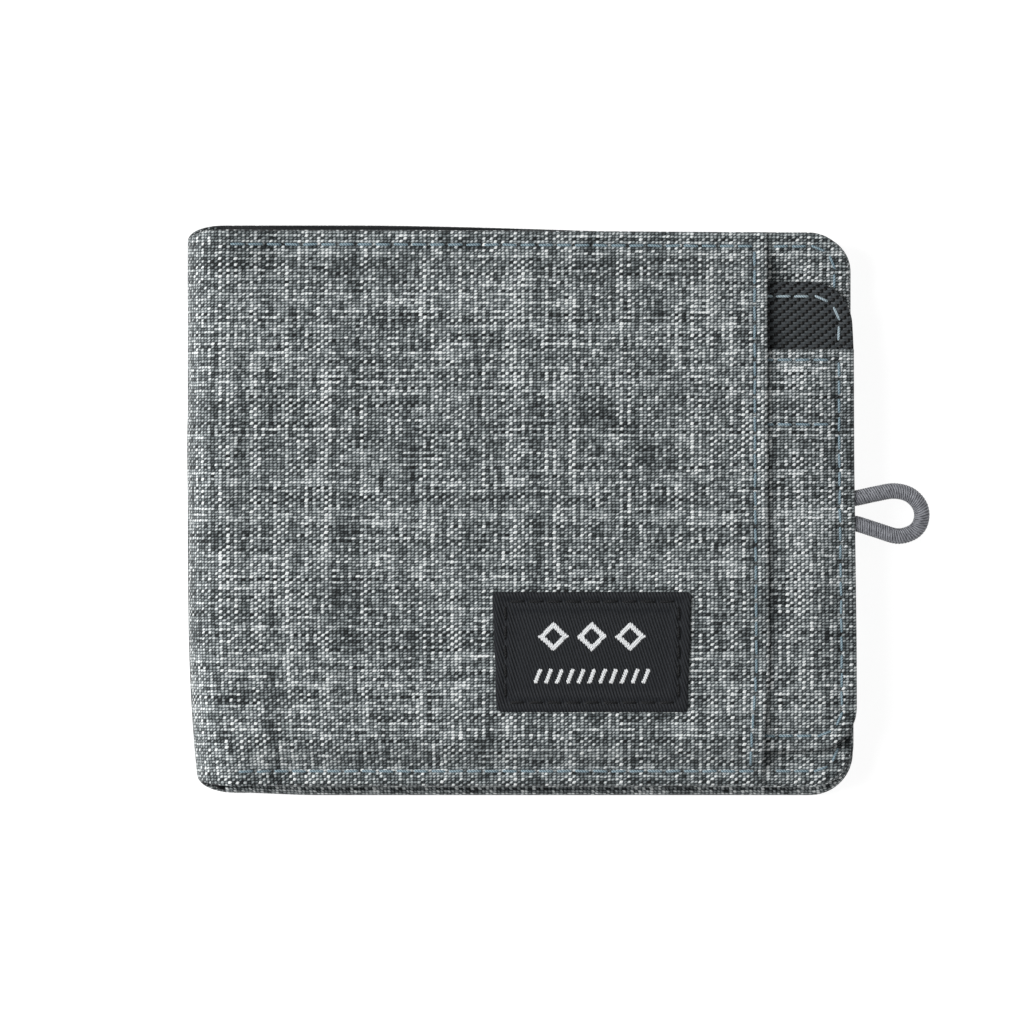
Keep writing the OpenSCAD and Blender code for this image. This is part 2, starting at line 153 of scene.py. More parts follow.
def lengths(path):
    """The length run at each point of a path."""
    return np.concatenate([[0.0], np.cumsum(np.linalg.norm(np.diff(path, axis=0), axis=1))])


def skin(rings, sides, start=0):
    """Faces round a row of rings, with a cap at each end."""
    index = start + np.arange(rings * sides).reshape(rings, sides)
    after = np.roll(index, -1, axis=1)
    walls = np.stack([index[:-1], after[:-1], after[1:], index[1:]], axis=-1)
    return [*walls.reshape(-1, 4).tolist(), index[0].tolist(), index[-1].tolist()]


def tubes(name, paths, radius, sides, flat=1.0, ridge=0.0, ridge_pitch=1.0, taper=0.5):
    """Threads or cords along several paths, as one piece. A ridge swells and thins the cord."""
    points, faces, maps = [], [], []
    around = np.arange(sides) * 2 * np.pi / sides
    for path in paths:
        path = np.asarray(path, float)
        along = np.gradient(path, axis=0)
        along /= np.linalg.norm(along, axis=1)[:, None]
        side = np.cross((0.0, 0.0, 1.0), along)
        side /= np.linalg.norm(side, axis=1)[:, None]
        up = np.cross(along, side)
        run = lengths(path)
        size = radius * (1 + ridge * np.cos(2 * np.pi * run / ridge_pitch))
        size[[0, -1]] *= taper
        ring = np.cos(around)[None, :, None] * side[:, None, :]
        ring = ring + flat * np.sin(around)[None, :, None] * up[:, None, :]
        faces += skin(len(path), sides, sum(map(len, points)))
        points.append((path[:, None, :] + size[:, None, None] * ring).reshape(-1, 3))
        girth = np.tile(np.abs(around - np.pi) * radius, len(path))
        maps.append(np.stack([np.repeat(run, sides), girth], axis=1))
    return make_mesh(name, np.concatenate(points), faces, np.concatenate(maps))


def curve_through(points, count):
    """A smooth line through given points: a Catmull-Rom spline, sampled evenly by length."""
    points = np.asarray(points, float)
    ends = [2 * points[0] - points[1], *points, 2 * points[-1] - points[-2]]
    line = []
    for p0, p1, p2, p3 in zip(ends, ends[1:], ends[2:], ends[3:]):
        for t in np.arange(24) / 24:
            line.append(0.5 * (2 * p1 + (p2 - p0) * t + (2 * p0 - 5 * p1 + 4 * p2 - p3) * t ** 2
                               + (3 * p1 - p0 - 3 * p2 + p3) * t ** 3))
    line = np.array([*line, points[-1]])
    run = lengths(line)
    even = np.linspace(0, run[-1], count)
    return np.stack([np.interp(even, run, line[:, k]) for k in range(3)], axis=1), run[-1]


# %% [markdown]
# ## Pull loop
# A short elastic cord is doubled over and both its ends are sewn into the holder's edge. It could
# be a curve with a bevel. A tube built ring by ring is used, because each ring can swell and
# shrink a little, which gives the fine ribs that its yarn cover has round the rubber core.

# %% Pull loop
CORD_D = 2.6 * MM
RIB_PITCH = 0.42 * MM
LOOP_Z = (holder_z + pouch_flat) / 2
LOOP_ROUTE = [
    (-5, 2, 0), (-2.5, 2, 0), (0, 2, 0), (3.4, 2.7, -0.2), (6.4, 3.2, -0.5), (8.9, 2.7, -0.8),
    (10.6, 1.2, -1), (11.2, -0.6, -1), (10.8, -2.5, -1), (9.4, -3.8, -0.8), (7, -4.3, -0.5),
    (3.6, -3.3, -0.2), (0, -2.2, 0), (-2.5, -2.2, 0), (-5, -2.2, 0),
]
loop_points = np.array(LOOP_ROUTE) * MM + np.array([x_holder, 0, LOOP_Z])
loop_line, loop_length = curve_through(loop_points, 420)
pull_loop = tubes("elastic_pull_loop", [loop_line], CORD_D / 2, 20, ridge=0.02,
                  ridge_pitch=RIB_PITCH, taper=1.0)
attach(pull_loop, "card_holder")
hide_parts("pull_loop")
print("pull loop mm:", round(loop_length / MM, 1))

# %% [markdown]
# ## Floor and light
# A light table is the plain ground here: a pale sheet that glows a little itself, so that shadows
# on it stay faint. Two wide soft boxes stand left and right, the left one stronger, and a third
# hangs overhead. Large lights close to a small object give soft shading without hard edges.

# %% Floor and light
FLOOR_SIZE = 3.0
floor_mesh = bpy.data.meshes.new("floor")
half = FLOOR_SIZE / 2
floor_mesh.from_pydata([(-half, -half, 0), (half, -half, 0), (half, half, 0), (-half, half, 0)],
                       [], [(0, 1, 2, 3)])
floor = bpy.data.objects.new("floor", floor_mesh)
floor.location.z = -0.05 * MM
link(floor)


def soft_box(name, place, size, power):
    """A large square lamp that looks at the wallet."""
    data = bpy.data.lights.new(name, "AREA")
    data.shape = "RECTANGLE"
    data.size, data.size_y = size
    data.energy = power
    lamp = bpy.data.objects.new(name, data)
    lamp.location = place
    lamp.rotation_euler = (-Vector(place)).to_track_quat("-Z", "Y").to_euler()
    link(lamp)


soft_box("left_box", (-0.62, 0.1, 0.75), (0.35, 0.7), 9.6)
soft_box("right_box", (0.8, 0.05, 0.6), (0.6, 1.2), 1.5)
soft_box("top_box", (-0.05, 0.15, 1.1), (0.8, 0.8), 0.9)
world = bpy.data.worlds.new("studio")
world.use_nodes = True
world.node_tree.nodes["Background"].inputs[0].default_value = (1, 1, 1, 1)
world.node_tree.nodes["Background"].inputs[1].default_value = 0.11
bpy.context.scene.world = world
bpy.context.scene.view_settings.view_transform = "Standard"
print("lamps: 3")

# %% [markdown]
# ## Material helpers
# `linear` turns an sRGB hex colour into the linear values that shaders expect. `add` puts one
# node in a tree, sets it, fills or links its inputs and returns one output. Every finish below is
# built with these two, in an empty tree that ends in a bump and a single shader.

# %% Material helpers
def linear(hex_colour):
    channels = [int(hex_colour[i:i + 2], 16) / 255 for i in (1, 3, 5)]
    return [c / 12.92 if c <= 0.04045 else ((c + 0.055) / 1.055) ** 2.4 for c in channels] + [1.0]


def add(tree, kind, *inputs, out=0, sockets=None, **settings):
    node = tree.nodes.new("ShaderNode" + kind)
    for name, value in settings.items():
        setattr(node, name, value)
    for key, value in [*enumerate(inputs), *(sockets or {}).items()]:
        if isinstance(value, bpy.types.NodeSocket):
            tree.links.new(value, node.inputs[key])
        elif value is not None:
            node.inputs[key].default_value = value
    return node.outputs[out] if node.outputs else None


def new_material(name):
    material = bpy.data.materials.new(name)
    material.use_nodes = True
    material.node_tree.nodes.clear()
    return material, material.node_tree


def finish_material(tree, colour, height, bump_mm, **shader):
    """Ends a tree: bump from a height of 0 to 1, one shader, and the output. The colour may be
    given as a tone of 0 to 1 between a low and a high colour."""
    if isinstance(colour, tuple):
        colour = add(tree, "Mix", data_type="RGBA", out=2, sockets=dict(zip((0, 6, 7), colour)))
    bump = add(tree, "Bump", sockets={
        "Strength": 1.0, "Distance": bump_mm * MM, "Height": height})
    surface = add(tree, "BsdfPrincipled", sockets={
        "Base Color": colour, "Normal": bump, "Specular IOR Level": 0.25,
        **{name.replace("_", " "): value for name, value in shader.items()}})
    add(tree, "OutputMaterial", surface)


# %% [markdown]
# ## A weave
# Cloth is two sets of threads that cross: the warp runs up the wallet and the weft across it. A
# picture of cloth would only suit one size, so the crossings are worked out instead. Dividing the
# cloth map by the thread spacing numbers each thread. Every thread is a rounded ridge that waves
# up and down as it passes over and under the others: a cosine of its place, shifted by its own
# number, with a period of two threads in a plain weave and three in a twill. Whichever thread is
# higher at a point shows, and its height drives the bump. A noise makes the threads waver, and a
# slant leans each crossing within its row, as the twist of the yarn does.

# %% Weave
def weave(tree, warp_mm, weft_mm, repeat, wave=0.55, wobble_mm=0.14, detail=1.0, slant=0.0):
    """The parts of a weave: thread numbers, place in mm, warp-on-top mask and height 0 to 1."""
    cloth_map = add(tree, "UVMap", uv_map="cloth")
    noise = add(tree, "TexNoise", cloth_map, out=1,
                sockets={"Scale": 420.0, "Detail": detail, "Roughness": 0.75})
    centred = add(tree, "VectorMath", noise, (0.5, 0.5, 0.5), operation="SUBTRACT")
    shift = add(tree, "VectorMath", centred, operation="SCALE",
                sockets={"Scale": 2 * wobble_mm * MM})
    bent = add(tree, "VectorMath", cloth_map, shift, operation="ADD")
    count = add(tree, "VectorMath", bent, operation="MULTIPLY",
                sockets={1: (1 / (warp_mm * MM), 1 / (weft_mm * MM), 0.0)})
    along_row = add(tree, "VectorMath", count, operation="FRACTION")
    row_y = add(tree, "SeparateXYZ", along_row, out=1)
    lean = add(tree, "Math", row_y, slant, -slant / 2, operation="MULTIPLY_ADD")
    leaning = add(tree, "CombineXYZ", lean)
    count = add(tree, "VectorMath", count, leaning, operation="ADD")
    whole = add(tree, "VectorMath", count, operation="FLOOR")
    x, y = (add(tree, "SeparateXYZ", count, out=axis) for axis in (0, 1))
    warp, weft = (add(tree, "SeparateXYZ", whole, out=axis) for axis in (0, 1))
    levels = []
    for across, own, along, sign in ((x, warp, y, 1), (y, weft, x, -1)):
        side = add(tree, "Math", across, own, operation="SUBTRACT")
        middle = add(tree, "Math", side, 0.5, operation="SUBTRACT")
        square = add(tree, "Math", middle, middle, operation="MULTIPLY")
        ridge = add(tree, "Math", square, -3.4, 1.0, operation="MULTIPLY_ADD")
        run = add(tree, "Math", along, own, operation="SUBTRACT")
        turn = add(tree, "Math", run, 2 * math.pi / repeat, -math.pi / repeat,
                   operation="MULTIPLY_ADD")
        swing = add(tree, "Math", turn, operation="COSINE")
        levels.append(add(tree, "Math", swing, sign * wave, ridge,
                          operation="MULTIPLY_ADD"))
    highest = add(tree, "Math", *levels, operation="MAXIMUM")
    return {"warp": warp, "weft": weft, "whole": whole,
            "mm": add(tree, "VectorMath", bent, (1000.0, 1000.0, 0.0),
                      operation="MULTIPLY"),
            "warp_up": add(tree, "Math", *levels, operation="GREATER_THAN"),
            "height": add(tree, "Math", highest, 1 / (1 + wave), operation="MULTIPLY")}


# %% [markdown]
# ## Heathered polyester
# The cover is a plain weave of melange polyester: each thread is spun from black, grey and white
# fibre, so its tone drifts along its length. A noise stretched along each thread draws that
# drift, once for the warp and once for the weft. Each whole thread and each crossing also has a
# small tint of its own, and fine slanting fibres lie over it all. Where the threads dip between
# crossings the colour is darkened, as painted shade in the gaps. Such threads are about 0.5 mm
# apart, which is wide enough to show.

# %% Heathered polyester
WARP_MM = 0.655
WEFT_MM = 0.49
THREAD_TINT = 0.23
CROSSING_TINT = 0.13
# depth and average of the painted shade in the gaps between threads
GAP_SHADE_DEPTH = 0.34
GAP_SHADE_MEAN = 0.258
FIBRE_SHARE = 0.32


def heather(name, ramp, seed):
    material, tree = new_material(name)
    parts = weave(tree, WARP_MM, WEFT_MM, 2, wobble_mm=0.22, detail=3.0, slant=-0.34)
    x_mm = add(tree, "SeparateXYZ", parts["mm"], out=0)
    y_mm = add(tree, "SeparateXYZ", parts["mm"], out=1)
    shades = []
    for number, run, slub, bias in ((parts["warp"], y_mm, 6.0, 0.045),
                                    (parts["weft"], x_mm, 8.0, -0.035)):
        drift = []
        for spread, length, offset in ((7.13, slub, 0.0), (0.31, 4 * slub, 40.0)):
            side = add(tree, "Math", number, spread, seed + offset,
                       operation="MULTIPLY_ADD")
            along = add(tree, "Math", run, 1 / length, operation="MULTIPLY")
            place = add(tree, "CombineXYZ", side, along, seed + offset)
            drift.append(add(tree, "TexNoise", place,
                             sockets={"Scale": 1.0, "Detail": 2.0, "Roughness": 0.6}))
        mean = add(tree, "Mix", sockets={"Factor": 0.35, 2: drift[0], 3: drift[1]})
        lot = add(tree, "TexWhiteNoise", noise_dimensions="1D", sockets={"W": side})
        tint = add(tree, "Math", lot, THREAD_TINT, bias - THREAD_TINT / 2,
                   operation="MULTIPLY_ADD")
        shades.append(add(tree, "Math", mean, tint, operation="ADD"))
    shade = add(tree, "Mix", sockets={
        "Factor": parts["warp_up"], 2: shades[1], 3: shades[0]})
    slanted = add(tree, "VectorRotate", parts["mm"], rotation_type="Z_AXIS",
                  sockets={"Angle": math.radians(-38)})
    stretched = add(tree, "VectorMath", slanted, (1.3, 5.5, 1.0),
                    operation="MULTIPLY")
    fibre = add(tree, "TexNoise", stretched, sockets={"Scale": 1.0, "Detail": 2.0})
    mixed = add(tree, "Mix", sockets={"Factor": FIBRE_SHARE, 2: shade, 3: fibre})
    crossing = add(tree, "TexWhiteNoise", parts["whole"], noise_dimensions="2D")
    uneven = add(tree, "Math", crossing, CROSSING_TINT, mixed, operation="MULTIPLY_ADD")
    # painted shade: the colour darkens where the weave is low, in the gaps between threads
    gap_shade = add(tree, "Math", parts["height"], GAP_SHADE_DEPTH, -GAP_SHADE_MEAN - CROSSING_TINT / 2,
              operation="MULTIPLY_ADD")
    tone = add(tree, "Math", uneven, gap_shade, operation="ADD")
    colour = add(tree, "ValToRGB", tone)
    elements = colour.node.color_ramp.elements
    while len(elements) < len(ramp):
        elements.new(0.5)
    for element, (position, hex_colour) in zip(elements, ramp):
        element.position = position
        element.color = linear(hex_colour)
    finish_material(tree, colour, parts["height"], 0.16, Roughness=0.62, Sheen_Weight=0.1,
                    Sheen_Roughness=0.5)
    return material


GREY_RAMP = [(0.30, "#0c0f10"), (0.41, "#303638"), (0.50, "#6b7274"), (0.58, "#a9b0b2"),
             (0.67, "#f4f7f7")]
cover_cloth = heather("heathered_polyester", GREY_RAMP, 3.0)
print("cover cloth:", WARP_MM, "by", WEFT_MM, "mm threads")

# %% [markdown]
# ## Black twill
# The card holder is cut from a polyester twill: each weft thread passes over two warp threads and
# under one, a step further along in each row, so slanting ribs appear. The floats are dark grey
# and catch a little light, and the warp between them is nearly black.

# %% Black twill
def twill(name, warp_mm, weft_mm, float_hex, warp_hex, bump_mm):
    material, tree = new_material(name)
    parts = weave(tree, warp_mm, weft_mm, 3)
    tone = add(tree, "TexNoise", parts["mm"],
               sockets={"Scale": 2.4, "Detail": 2.0, "Roughness": 0.6})
    float_shade = add(tree, "Mix", data_type="RGBA", out=2, sockets={
        0: tone, 6: linear(warp_hex), 7: linear(float_hex)})
    finish_material(tree, (parts["warp_up"], float_shade, linear(warp_hex)), parts["height"],
                    bump_mm, Roughness=0.5, Sheen_Weight=0.05)
    return material


holder_twill = twill("black_polyester_twill", 0.64, 0.485, "#63696d", "#030405", 0.2)
print("twill: 3 threads to a repeat")

# %% [markdown]
# ## Nylon lining
# Inside, the wallet is lined with a thin black nylon. Its real threads are about 0.15 mm apart,
# too fine to show, so they are drawn 0.3 mm apart, as a faint plain weave with a soft sheen. The
# colour is darker where the threads dip, as painted shade.

# %% Nylon lining
LINING_MM = 0.3


def plain_cloth(name, thread_mm, hex_colour, roughness, bump_mm):
    material, tree = new_material(name)
    parts = weave(tree, thread_mm, thread_mm, 2)
    # painted shade: the colour falls to 55 per cent where the weave is low
    dark = [c * 0.55 for c in linear(hex_colour)[:3]] + [1.0]
    finish_material(tree, (parts["height"], dark, linear(hex_colour)), parts["height"], bump_mm,
                    Roughness=roughness, Sheen_Weight=0.15)
    return material


lining_cloth = plain_cloth("black_nylon_lining", LINING_MM, "#1c1e21", 0.45, 0.05)
print("lining threads mm:", LINING_MM)

# %% [markdown]
# ## Satin label ground
# A woven label is a dense satin: long floats lie side by side in steep ribs half a millimetre
# apart. Adding the two cloth directions, each over its own period, gives a number that grows
# across the ribs, and a sine of it is their height. Each pick is a little rougher or smoother.
# The same height sets the colour, which is darker between the ribs as painted shade.

# %% Satin label ground
RIB_X_MM = 0.52
RIB_Y_MM = 1.6


def ribs(tree, x_mm, y_mm):
    """The cloth map, and ribs of height 0 to 1 that repeat at two distances."""
    cloth_map = add(tree, "UVMap", uv_map="cloth")
    turn = add(tree, "VectorMath", cloth_map,
               (2 * math.pi / (x_mm * MM), 2 * math.pi / (y_mm * MM), 0.0), out=1,
               operation="DOT_PRODUCT")
    wave = add(tree, "Math", turn, operation="SINE")
    return cloth_map, add(tree, "Math", wave, 0.5, 0.5, operation="MULTIPLY_ADD")


def satin(name, hex_low, hex_high, bump_mm, roughness):
    material, tree = new_material(name)
    cloth_map, height = ribs(tree, RIB_X_MM, RIB_Y_MM)
    pick = add(tree, "TexNoise", cloth_map, sockets={"Scale": 3200.0, "Detail": 1.0})
    # rib height with each pick's noise sets the bump and the colour; the darker grooves are painted
    # shade
    rib_relief_and_shade = add(tree, "Math", pick, 0.45, height, operation="MULTIPLY_ADD")
    finish_material(tree, (rib_relief_and_shade, linear(hex_low), linear(hex_high)), rib_relief_and_shade, bump_mm,
                    Roughness=roughness, Sheen_Weight=0.05)
    return material


label_satin = satin("black_satin_label", "#020303", "#282b30", 0.14, 0.6)
print("label ribs mm:", RIB_X_MM, "by", RIB_Y_MM)

# %% [markdown]
# ## Sewing thread
# Corespun polyester thread is three plies twisted together, so its surface shows slanting turns.
# Length along the thread plus distance round it makes a helix, so the same ribs serve here. The
# colour is darker in the grooves between the turns, as painted shade.

# %% Sewing thread
PLY_MM = 0.42


def thread(name, hex_low, hex_high, roughness=0.5):
    material, tree = new_material(name)
    height = ribs(tree, PLY_MM, 1.4 * PLY_MM)[1]
    # painted shade: the colour is darker where the ribs are low
    finish_material(tree, (height, linear(hex_low), linear(hex_high)), height, 0.05,
                    Roughness=roughness, Sheen_Weight=0.1)
    return material


blue_thread = thread("blue_grey_polyester_thread", "#56707d", "#a5b9c3")
light_thread = thread("pale_polyester_thread", "#7d919b", "#c3d2d8")
black_thread = thread("black_polyester_thread", "#050506", "#17191c")
white_thread = thread("white_label_thread", "#d6dadd", "#ffffff", 0.6)
print("threads: 4")

# %% [markdown]
# ## Braided elastic
# The loop's rubber core is covered with a tight grey yarn that runs round it in fine rings. The
# rings swell in the mesh, and the material draws single yarns, which look streaky because a noise
# stretched along each yarn is added to their height. That height also sets the colour: darker
# between the yarn turns as painted shade, with the streaks as the yarn's own uneven tone.

# %% Braided elastic
YARN_MM = 0.4
elastic, tree = new_material("grey_braided_elastic")
cord_map = add(tree, "UVMap", uv_map="cloth")
yarn_turn = add(tree, "VectorMath", cord_map,
                (2 * math.pi / (YARN_MM * MM), 0.6 * math.pi / (YARN_MM * MM), 0.0), out=1,
                operation="DOT_PRODUCT")
yarn_wave = add(tree, "Math", yarn_turn, operation="COSINE")
yarn = add(tree, "Math", yarn_wave, 0.26, 0.0, operation="MULTIPLY_ADD")
fuzz_place = add(tree, "VectorMath", cord_map, (3000.0, 620.0, 1.0), operation="MULTIPLY")
fuzz = add(tree, "TexNoise", fuzz_place, sockets={"Scale": 1.0, "Detail": 2.0})
# painted shade between the yarn rings, plus the yarn's uneven tone, both from this height
yarn_height_and_shade = add(tree, "Math", fuzz, 1.0, yarn, operation="MULTIPLY_ADD")
finish_material(tree, (yarn_height_and_shade, linear("#3a3b41"), linear("#b6b8bf")), yarn_height_and_shade, 0.24,
                Roughness=0.55, Sheen_Weight=0.1)
pull_loop.data.materials.append(elastic)
print("elastic ribs mm:", RIB_PITCH / MM)

# %% [markdown]
# ## Foam and board
# The padding is white closed-cell foam, with tiny pits from its bubbles. The board that stiffens
# the holder is pressed paper fibre, brown and slightly mottled. Both are covered by cloth.

# %% Foam and board
def mottled(name, scale_mm, hex_low, hex_high, roughness, bump_mm):
    material, tree = new_material(name)
    place = add(tree, "TexCoord", out=3)
    grain = add(tree, "TexNoise", place,
                sockets={"Scale": 1 / (scale_mm * MM), "Detail": 3.0})
    finish_material(tree, (grain, linear(hex_low), linear(hex_high)), grain, bump_mm,
                    Roughness=roughness)
    return material


white_foam = mottled("white_closed_cell_foam", 0.5, "#c9c8c2", "#f2f1ec", 0.85, 0.1)
fibre_board = mottled("pressed_fibre_board", 0.9, "#846d4a", "#a98d63", 0.8, 0.05)
floor_sheet = bpy.data.materials.new("pale_light_table")
floor_sheet.use_nodes = True
floor_shader = floor_sheet.node_tree.nodes["Principled BSDF"]
floor_shader.inputs["Base Color"].default_value = linear("#8a8a8a")
floor_shader.inputs["Roughness"].default_value = 0.9
floor_shader.inputs["Emission Color"].default_value = (1, 1, 1, 1)
floor_shader.inputs["Emission Strength"].default_value = 0.9
floor_mesh.materials.append(floor_sheet)
print("materials:", len(bpy.data.materials))

# %% [markdown]
# ## How cloth lies
# Cloth is described flat, by a place across it, a place along it and a height. `place` then
# brings it to its real position: cloth past the fold's start runs round a half circle, and each
# half is a little out of square, the back one more, as sewn cloth is. `depth` says how far inside
# a sewn outline a point is, which drives every rolled edge, seam and puff.

# %% How cloth lies
def depth(u, v, span_u, span_v, radius, open_left=False):
    """Distance inside an outline with round corners; an open left side counts as far away."""
    low_u = span_u[0] - (1.0 if open_left else 0.0)
    du = np.maximum(low_u + radius - u, u - (span_u[1] - radius))
    dv = np.maximum(span_v[0] + radius - v, v - (span_v[1] - radius))
    outside = np.hypot(np.maximum(du, 0), np.maximum(dv, 0))
    return radius - outside - np.minimum(np.maximum(du, dv), 0)


def plan_shift(x, y, skew):
    """The fold's low end leans in, the top edge falls to the right, the free side bows out."""
    up = np.clip(y / back_y[1], 0, 1.1) ** 3
    down = np.clip(-y / back_y[1], 0, 1.1) ** 3
    lean = 1.9 * MM * down * (1 - ease(x, -0.055, 0.0))
    free = ease(x, 0.02, 0.055)
    bow = free * MM * (0.15 * ease(y, -0.015, 0.035) - 0.35 * ease(-y, -0.01, 0.03))
    lift = 0.24 * (skew - FRONT_SKEW)
    return x + lean - bow, y - (skew * ease(x, -0.03, 0.055) - lift) * up


COVER_FOLD = (fold_x, fold_r, fold_r)
LINING_FOLD = (inner_x, inner_mid, lining_r)
WALL_FOLD = (inner_x, inner_mid, wall_r)


def place(u, v, z, fold=None, skew=FRONT_SKEW):
    u, v, z = (np.asarray(a, float) for a in (u, v, z))
    x, height = u, z
    if fold:
        centre_x, centre_z, radius = fold
        turn = np.clip((centre_x - u) / radius, 0, math.pi / 2)
        reach = np.abs(z - centre_z)
        side = np.sign(z - centre_z)
        x = np.where(u < centre_x, centre_x - reach * np.sin(turn), u)
        height = np.where(u < centre_x, centre_z + side * reach * np.cos(turn), z)
    x, y = plan_shift(x, v, skew)
    return np.stack([x, y, height], axis=-1)


def ripple(u, v, wave, seed):
    """Soft random waves, from -1 to 1, of about one wavelength."""
    draw = np.random.default_rng(seed)
    total = np.zeros_like(np.asarray(u, float) + v)
    for _ in range(7):
        turn = draw.uniform(0, 2 * math.pi)
        length = wave * draw.uniform(0.7, 1.5)
        phase = draw.uniform(0, 2 * math.pi)
        total = total + np.sin(2 * math.pi * (u * math.cos(turn) + v * math.sin(turn)) / length
                               + phase)
    return total / 4


print("fold length of cover mm:", round(math.pi * fold_r / MM, 1))

# %% [markdown]
# ## Cloth builder
# Every cloth piece is a thin closed shell. A grid of points covers its outline, row by row, with
# closer points near the edges. Two sheets of that grid lie half a thickness above and below the
# middle height, and near an edge they come together in a quarter circle, which rolls the edge.

# %% Cloth builder
EDGE_STEPS = np.array([0, 0.04, 0.13, 0.28, 0.5, 0.75]) * MM


def stations(low, high, step, fine_low=True, fine_high=True):
    """Places from low to high, closer together near the ends that are edges."""
    a = EDGE_STEPS if fine_low else EDGE_STEPS[:1]
    b = EDGE_STEPS if fine_high else EDGE_STEPS[:1]
    middle = np.linspace(low + a[-1], high - b[-1], max(2, int((high - low) / step)))
    return np.concatenate([low + a[:-1], middle, (high - b[:-1])[::-1]])


def corner_inset(v, span_v, radius):
    """How far a round corner pulls in a side at the place v."""
    into = np.clip(np.maximum(span_v[0] + radius - v, v - (span_v[1] - radius)), 0, radius)
    return radius - np.sqrt(radius ** 2 - into ** 2)


def straight(x):
    return lambda v: np.full(v.shape, x)


def rounded(x, span_v, radius, sign=-1):
    """A side with round corners: sign is -1 for a right side and 1 for a left one."""
    return lambda v: x + sign * corner_inset(v, span_v, radius)


def cloth(name, material, rows, right, inside, middle, thick, left=None, fold=None,
          step=0.5 * MM, skew=FRONT_SKEW):
    """A shell over rows of v, from left(v) to right(v). inside(u, v) is the depth from its edges."""
    left = left or straight(fold[0] - math.pi / 2 * fold[2])
    widths = right(rows) - left(rows)
    width = float(np.max(widths))
    share = (stations(0.0, width, step, fine_low=not fold) / width)[None, :]
    u = left(rows)[:, None] + widths[:, None] * share
    v = flat_v = np.broadcast_to(rows[:, None], u.shape)
    if fold:
        arc = np.clip((fold[0] - u) / fold[2], 0, math.pi / 2)
        v = v + fold_narrowing(v, arc)
    d = np.maximum(inside(u, flat_v), 0)
    body = thick(u, v) if callable(thick) else thick
    roll = np.sqrt(np.clip(1 - (1 - np.minimum(d / (0.5 * body), 1)) ** 2, 0, 1))
    centre = middle(u, v)
    n, m = u.shape
    sheets = [place(u, v, centre + sign * roll * body / 2, fold, skew).reshape(-1, 3)
              for sign in (1, -1)]
    index = np.arange(n * m).reshape(n, m)
    corners = [index[:-1, :-1], index[:-1, 1:], index[1:, 1:], index[1:, :-1]]
    top = np.stack([c.ravel() for c in corners], axis=1)
    under = top[:, ::-1] + n * m
    rim = np.concatenate([index[0], index[1:, -1], index[-1, -2::-1], index[-2:0:-1, 0]])
    after = np.roll(rim, -1)
    wall = np.stack([after, rim, rim + n * m, after + n * m], axis=1)
    faces = np.concatenate([top, under, wall]).tolist()
    flat = np.stack([u, v], axis=-1).reshape(-1, 2)
    piece = make_mesh(name, np.concatenate(sheets), faces, np.concatenate([flat, flat]))
    piece.data.materials.append(material)
    return piece


def fold_narrowing(v, arc):
    """Cloth ends pull in towards the middle of the fold, by the same line for both halves."""
    top, low = fold_y[1] - 0.8 * MM, fold_y[0] + 1.2 * MM
    share = (v - np.min(v)) / (np.max(v) - np.min(v))
    return (low + share * (top - low) - v) * (1 - np.cos(arc)) ** 1.2


def bodies(piece, body, nodes=()):
    """Says what a piece rides on, which CAD nodes it stands for."""
    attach(piece, body)
    if nodes:
        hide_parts(*nodes)
    return piece


def across_fold(piece, half_name, nodes):
    """A piece of one half that runs on to the middle of the fold: its place is baked into its
    mesh, and the CAD nodes it stands for are hidden.
    """
    if half_name == "back_half":
        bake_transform(piece)
    else:
        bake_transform(piece)
    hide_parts(*nodes)
    return piece


print("cloth builder ready")

# %% [markdown]
# ## Stitches
# A lockstitch shows as short threads with a gap between them, each diving into the cloth at both
# ends. `stitch_row` and `stitch_bend` place them along straight lines and round corners, at the
# pitch of the CAD model. `sew` lays each thread on a surface given by a height function, and
# `needle_dips` pulls the cloth down where the needle went through.

# %% Stitches
STITCH_PITCH = 3 * MM
THREAD_R = 0.22 * MM
STITCH_ALONG = np.array([-1.2, -1.04, -0.75, -0.3, 0.3, 0.75, 1.04, 1.2]) * MM
STITCH_LIFT = np.array([-0.36, -0.12, 0.05, 0.1, 0.1, 0.05, -0.12, -0.36]) * MM


def stitch_row(p, q):
    p, q = np.array(p, float), np.array(q, float)
    count = int(np.linalg.norm(q - p) / STITCH_PITCH + 1e-6)
    turn = math.atan2(*(q - p)[::-1])
    return [(*(p + (q - p) * (i + 0.5) / count), turn) for i in range(count)]


def stitch_bend(centre, radius, start, end):
    count = round(radius * abs(end - start) / STITCH_PITCH)
    turns = [start + (end - start) * (i + 0.5) / count for i in range(count)]
    return [(centre[0] + radius * math.cos(a), centre[1] + radius * math.sin(a), a + math.pi / 2)
            for a in turns]


def half_seam(x0, x1, y0, y1, r):
    """Along the three free sides of a half, from the fold and back to it."""
    right = math.pi / 2
    return [*stitch_row((x0, y1), (x1 - r, y1)),
            *stitch_bend((x1 - r, y1 - r), r, right, 0),
            *stitch_row((x1, y1 - r), (x1, y0 + r)),
            *stitch_bend((x1 - r, y0 + r), r, 0, -right),
            *stitch_row((x1 - r, y0), (x0, y0))]


def round_seam(x0, x1, y0, y1, r):
    right = math.pi / 2
    return [*half_seam(x0 + r, x1, y0, y1, r),
            *stitch_bend((x0 + r, y0 + r), r, -right, -2 * right),
            *stitch_row((x0, y0 + r), (x0, y1 - r)),
            *stitch_bend((x0 + r, y1 - r), r, 2 * right, right)]


def inset_seam(span_x, span_y, inset, r):
    return round_seam(span_x[0] + inset, span_x[1] - inset, span_y[0] + inset, span_y[1] - inset,
                      r)


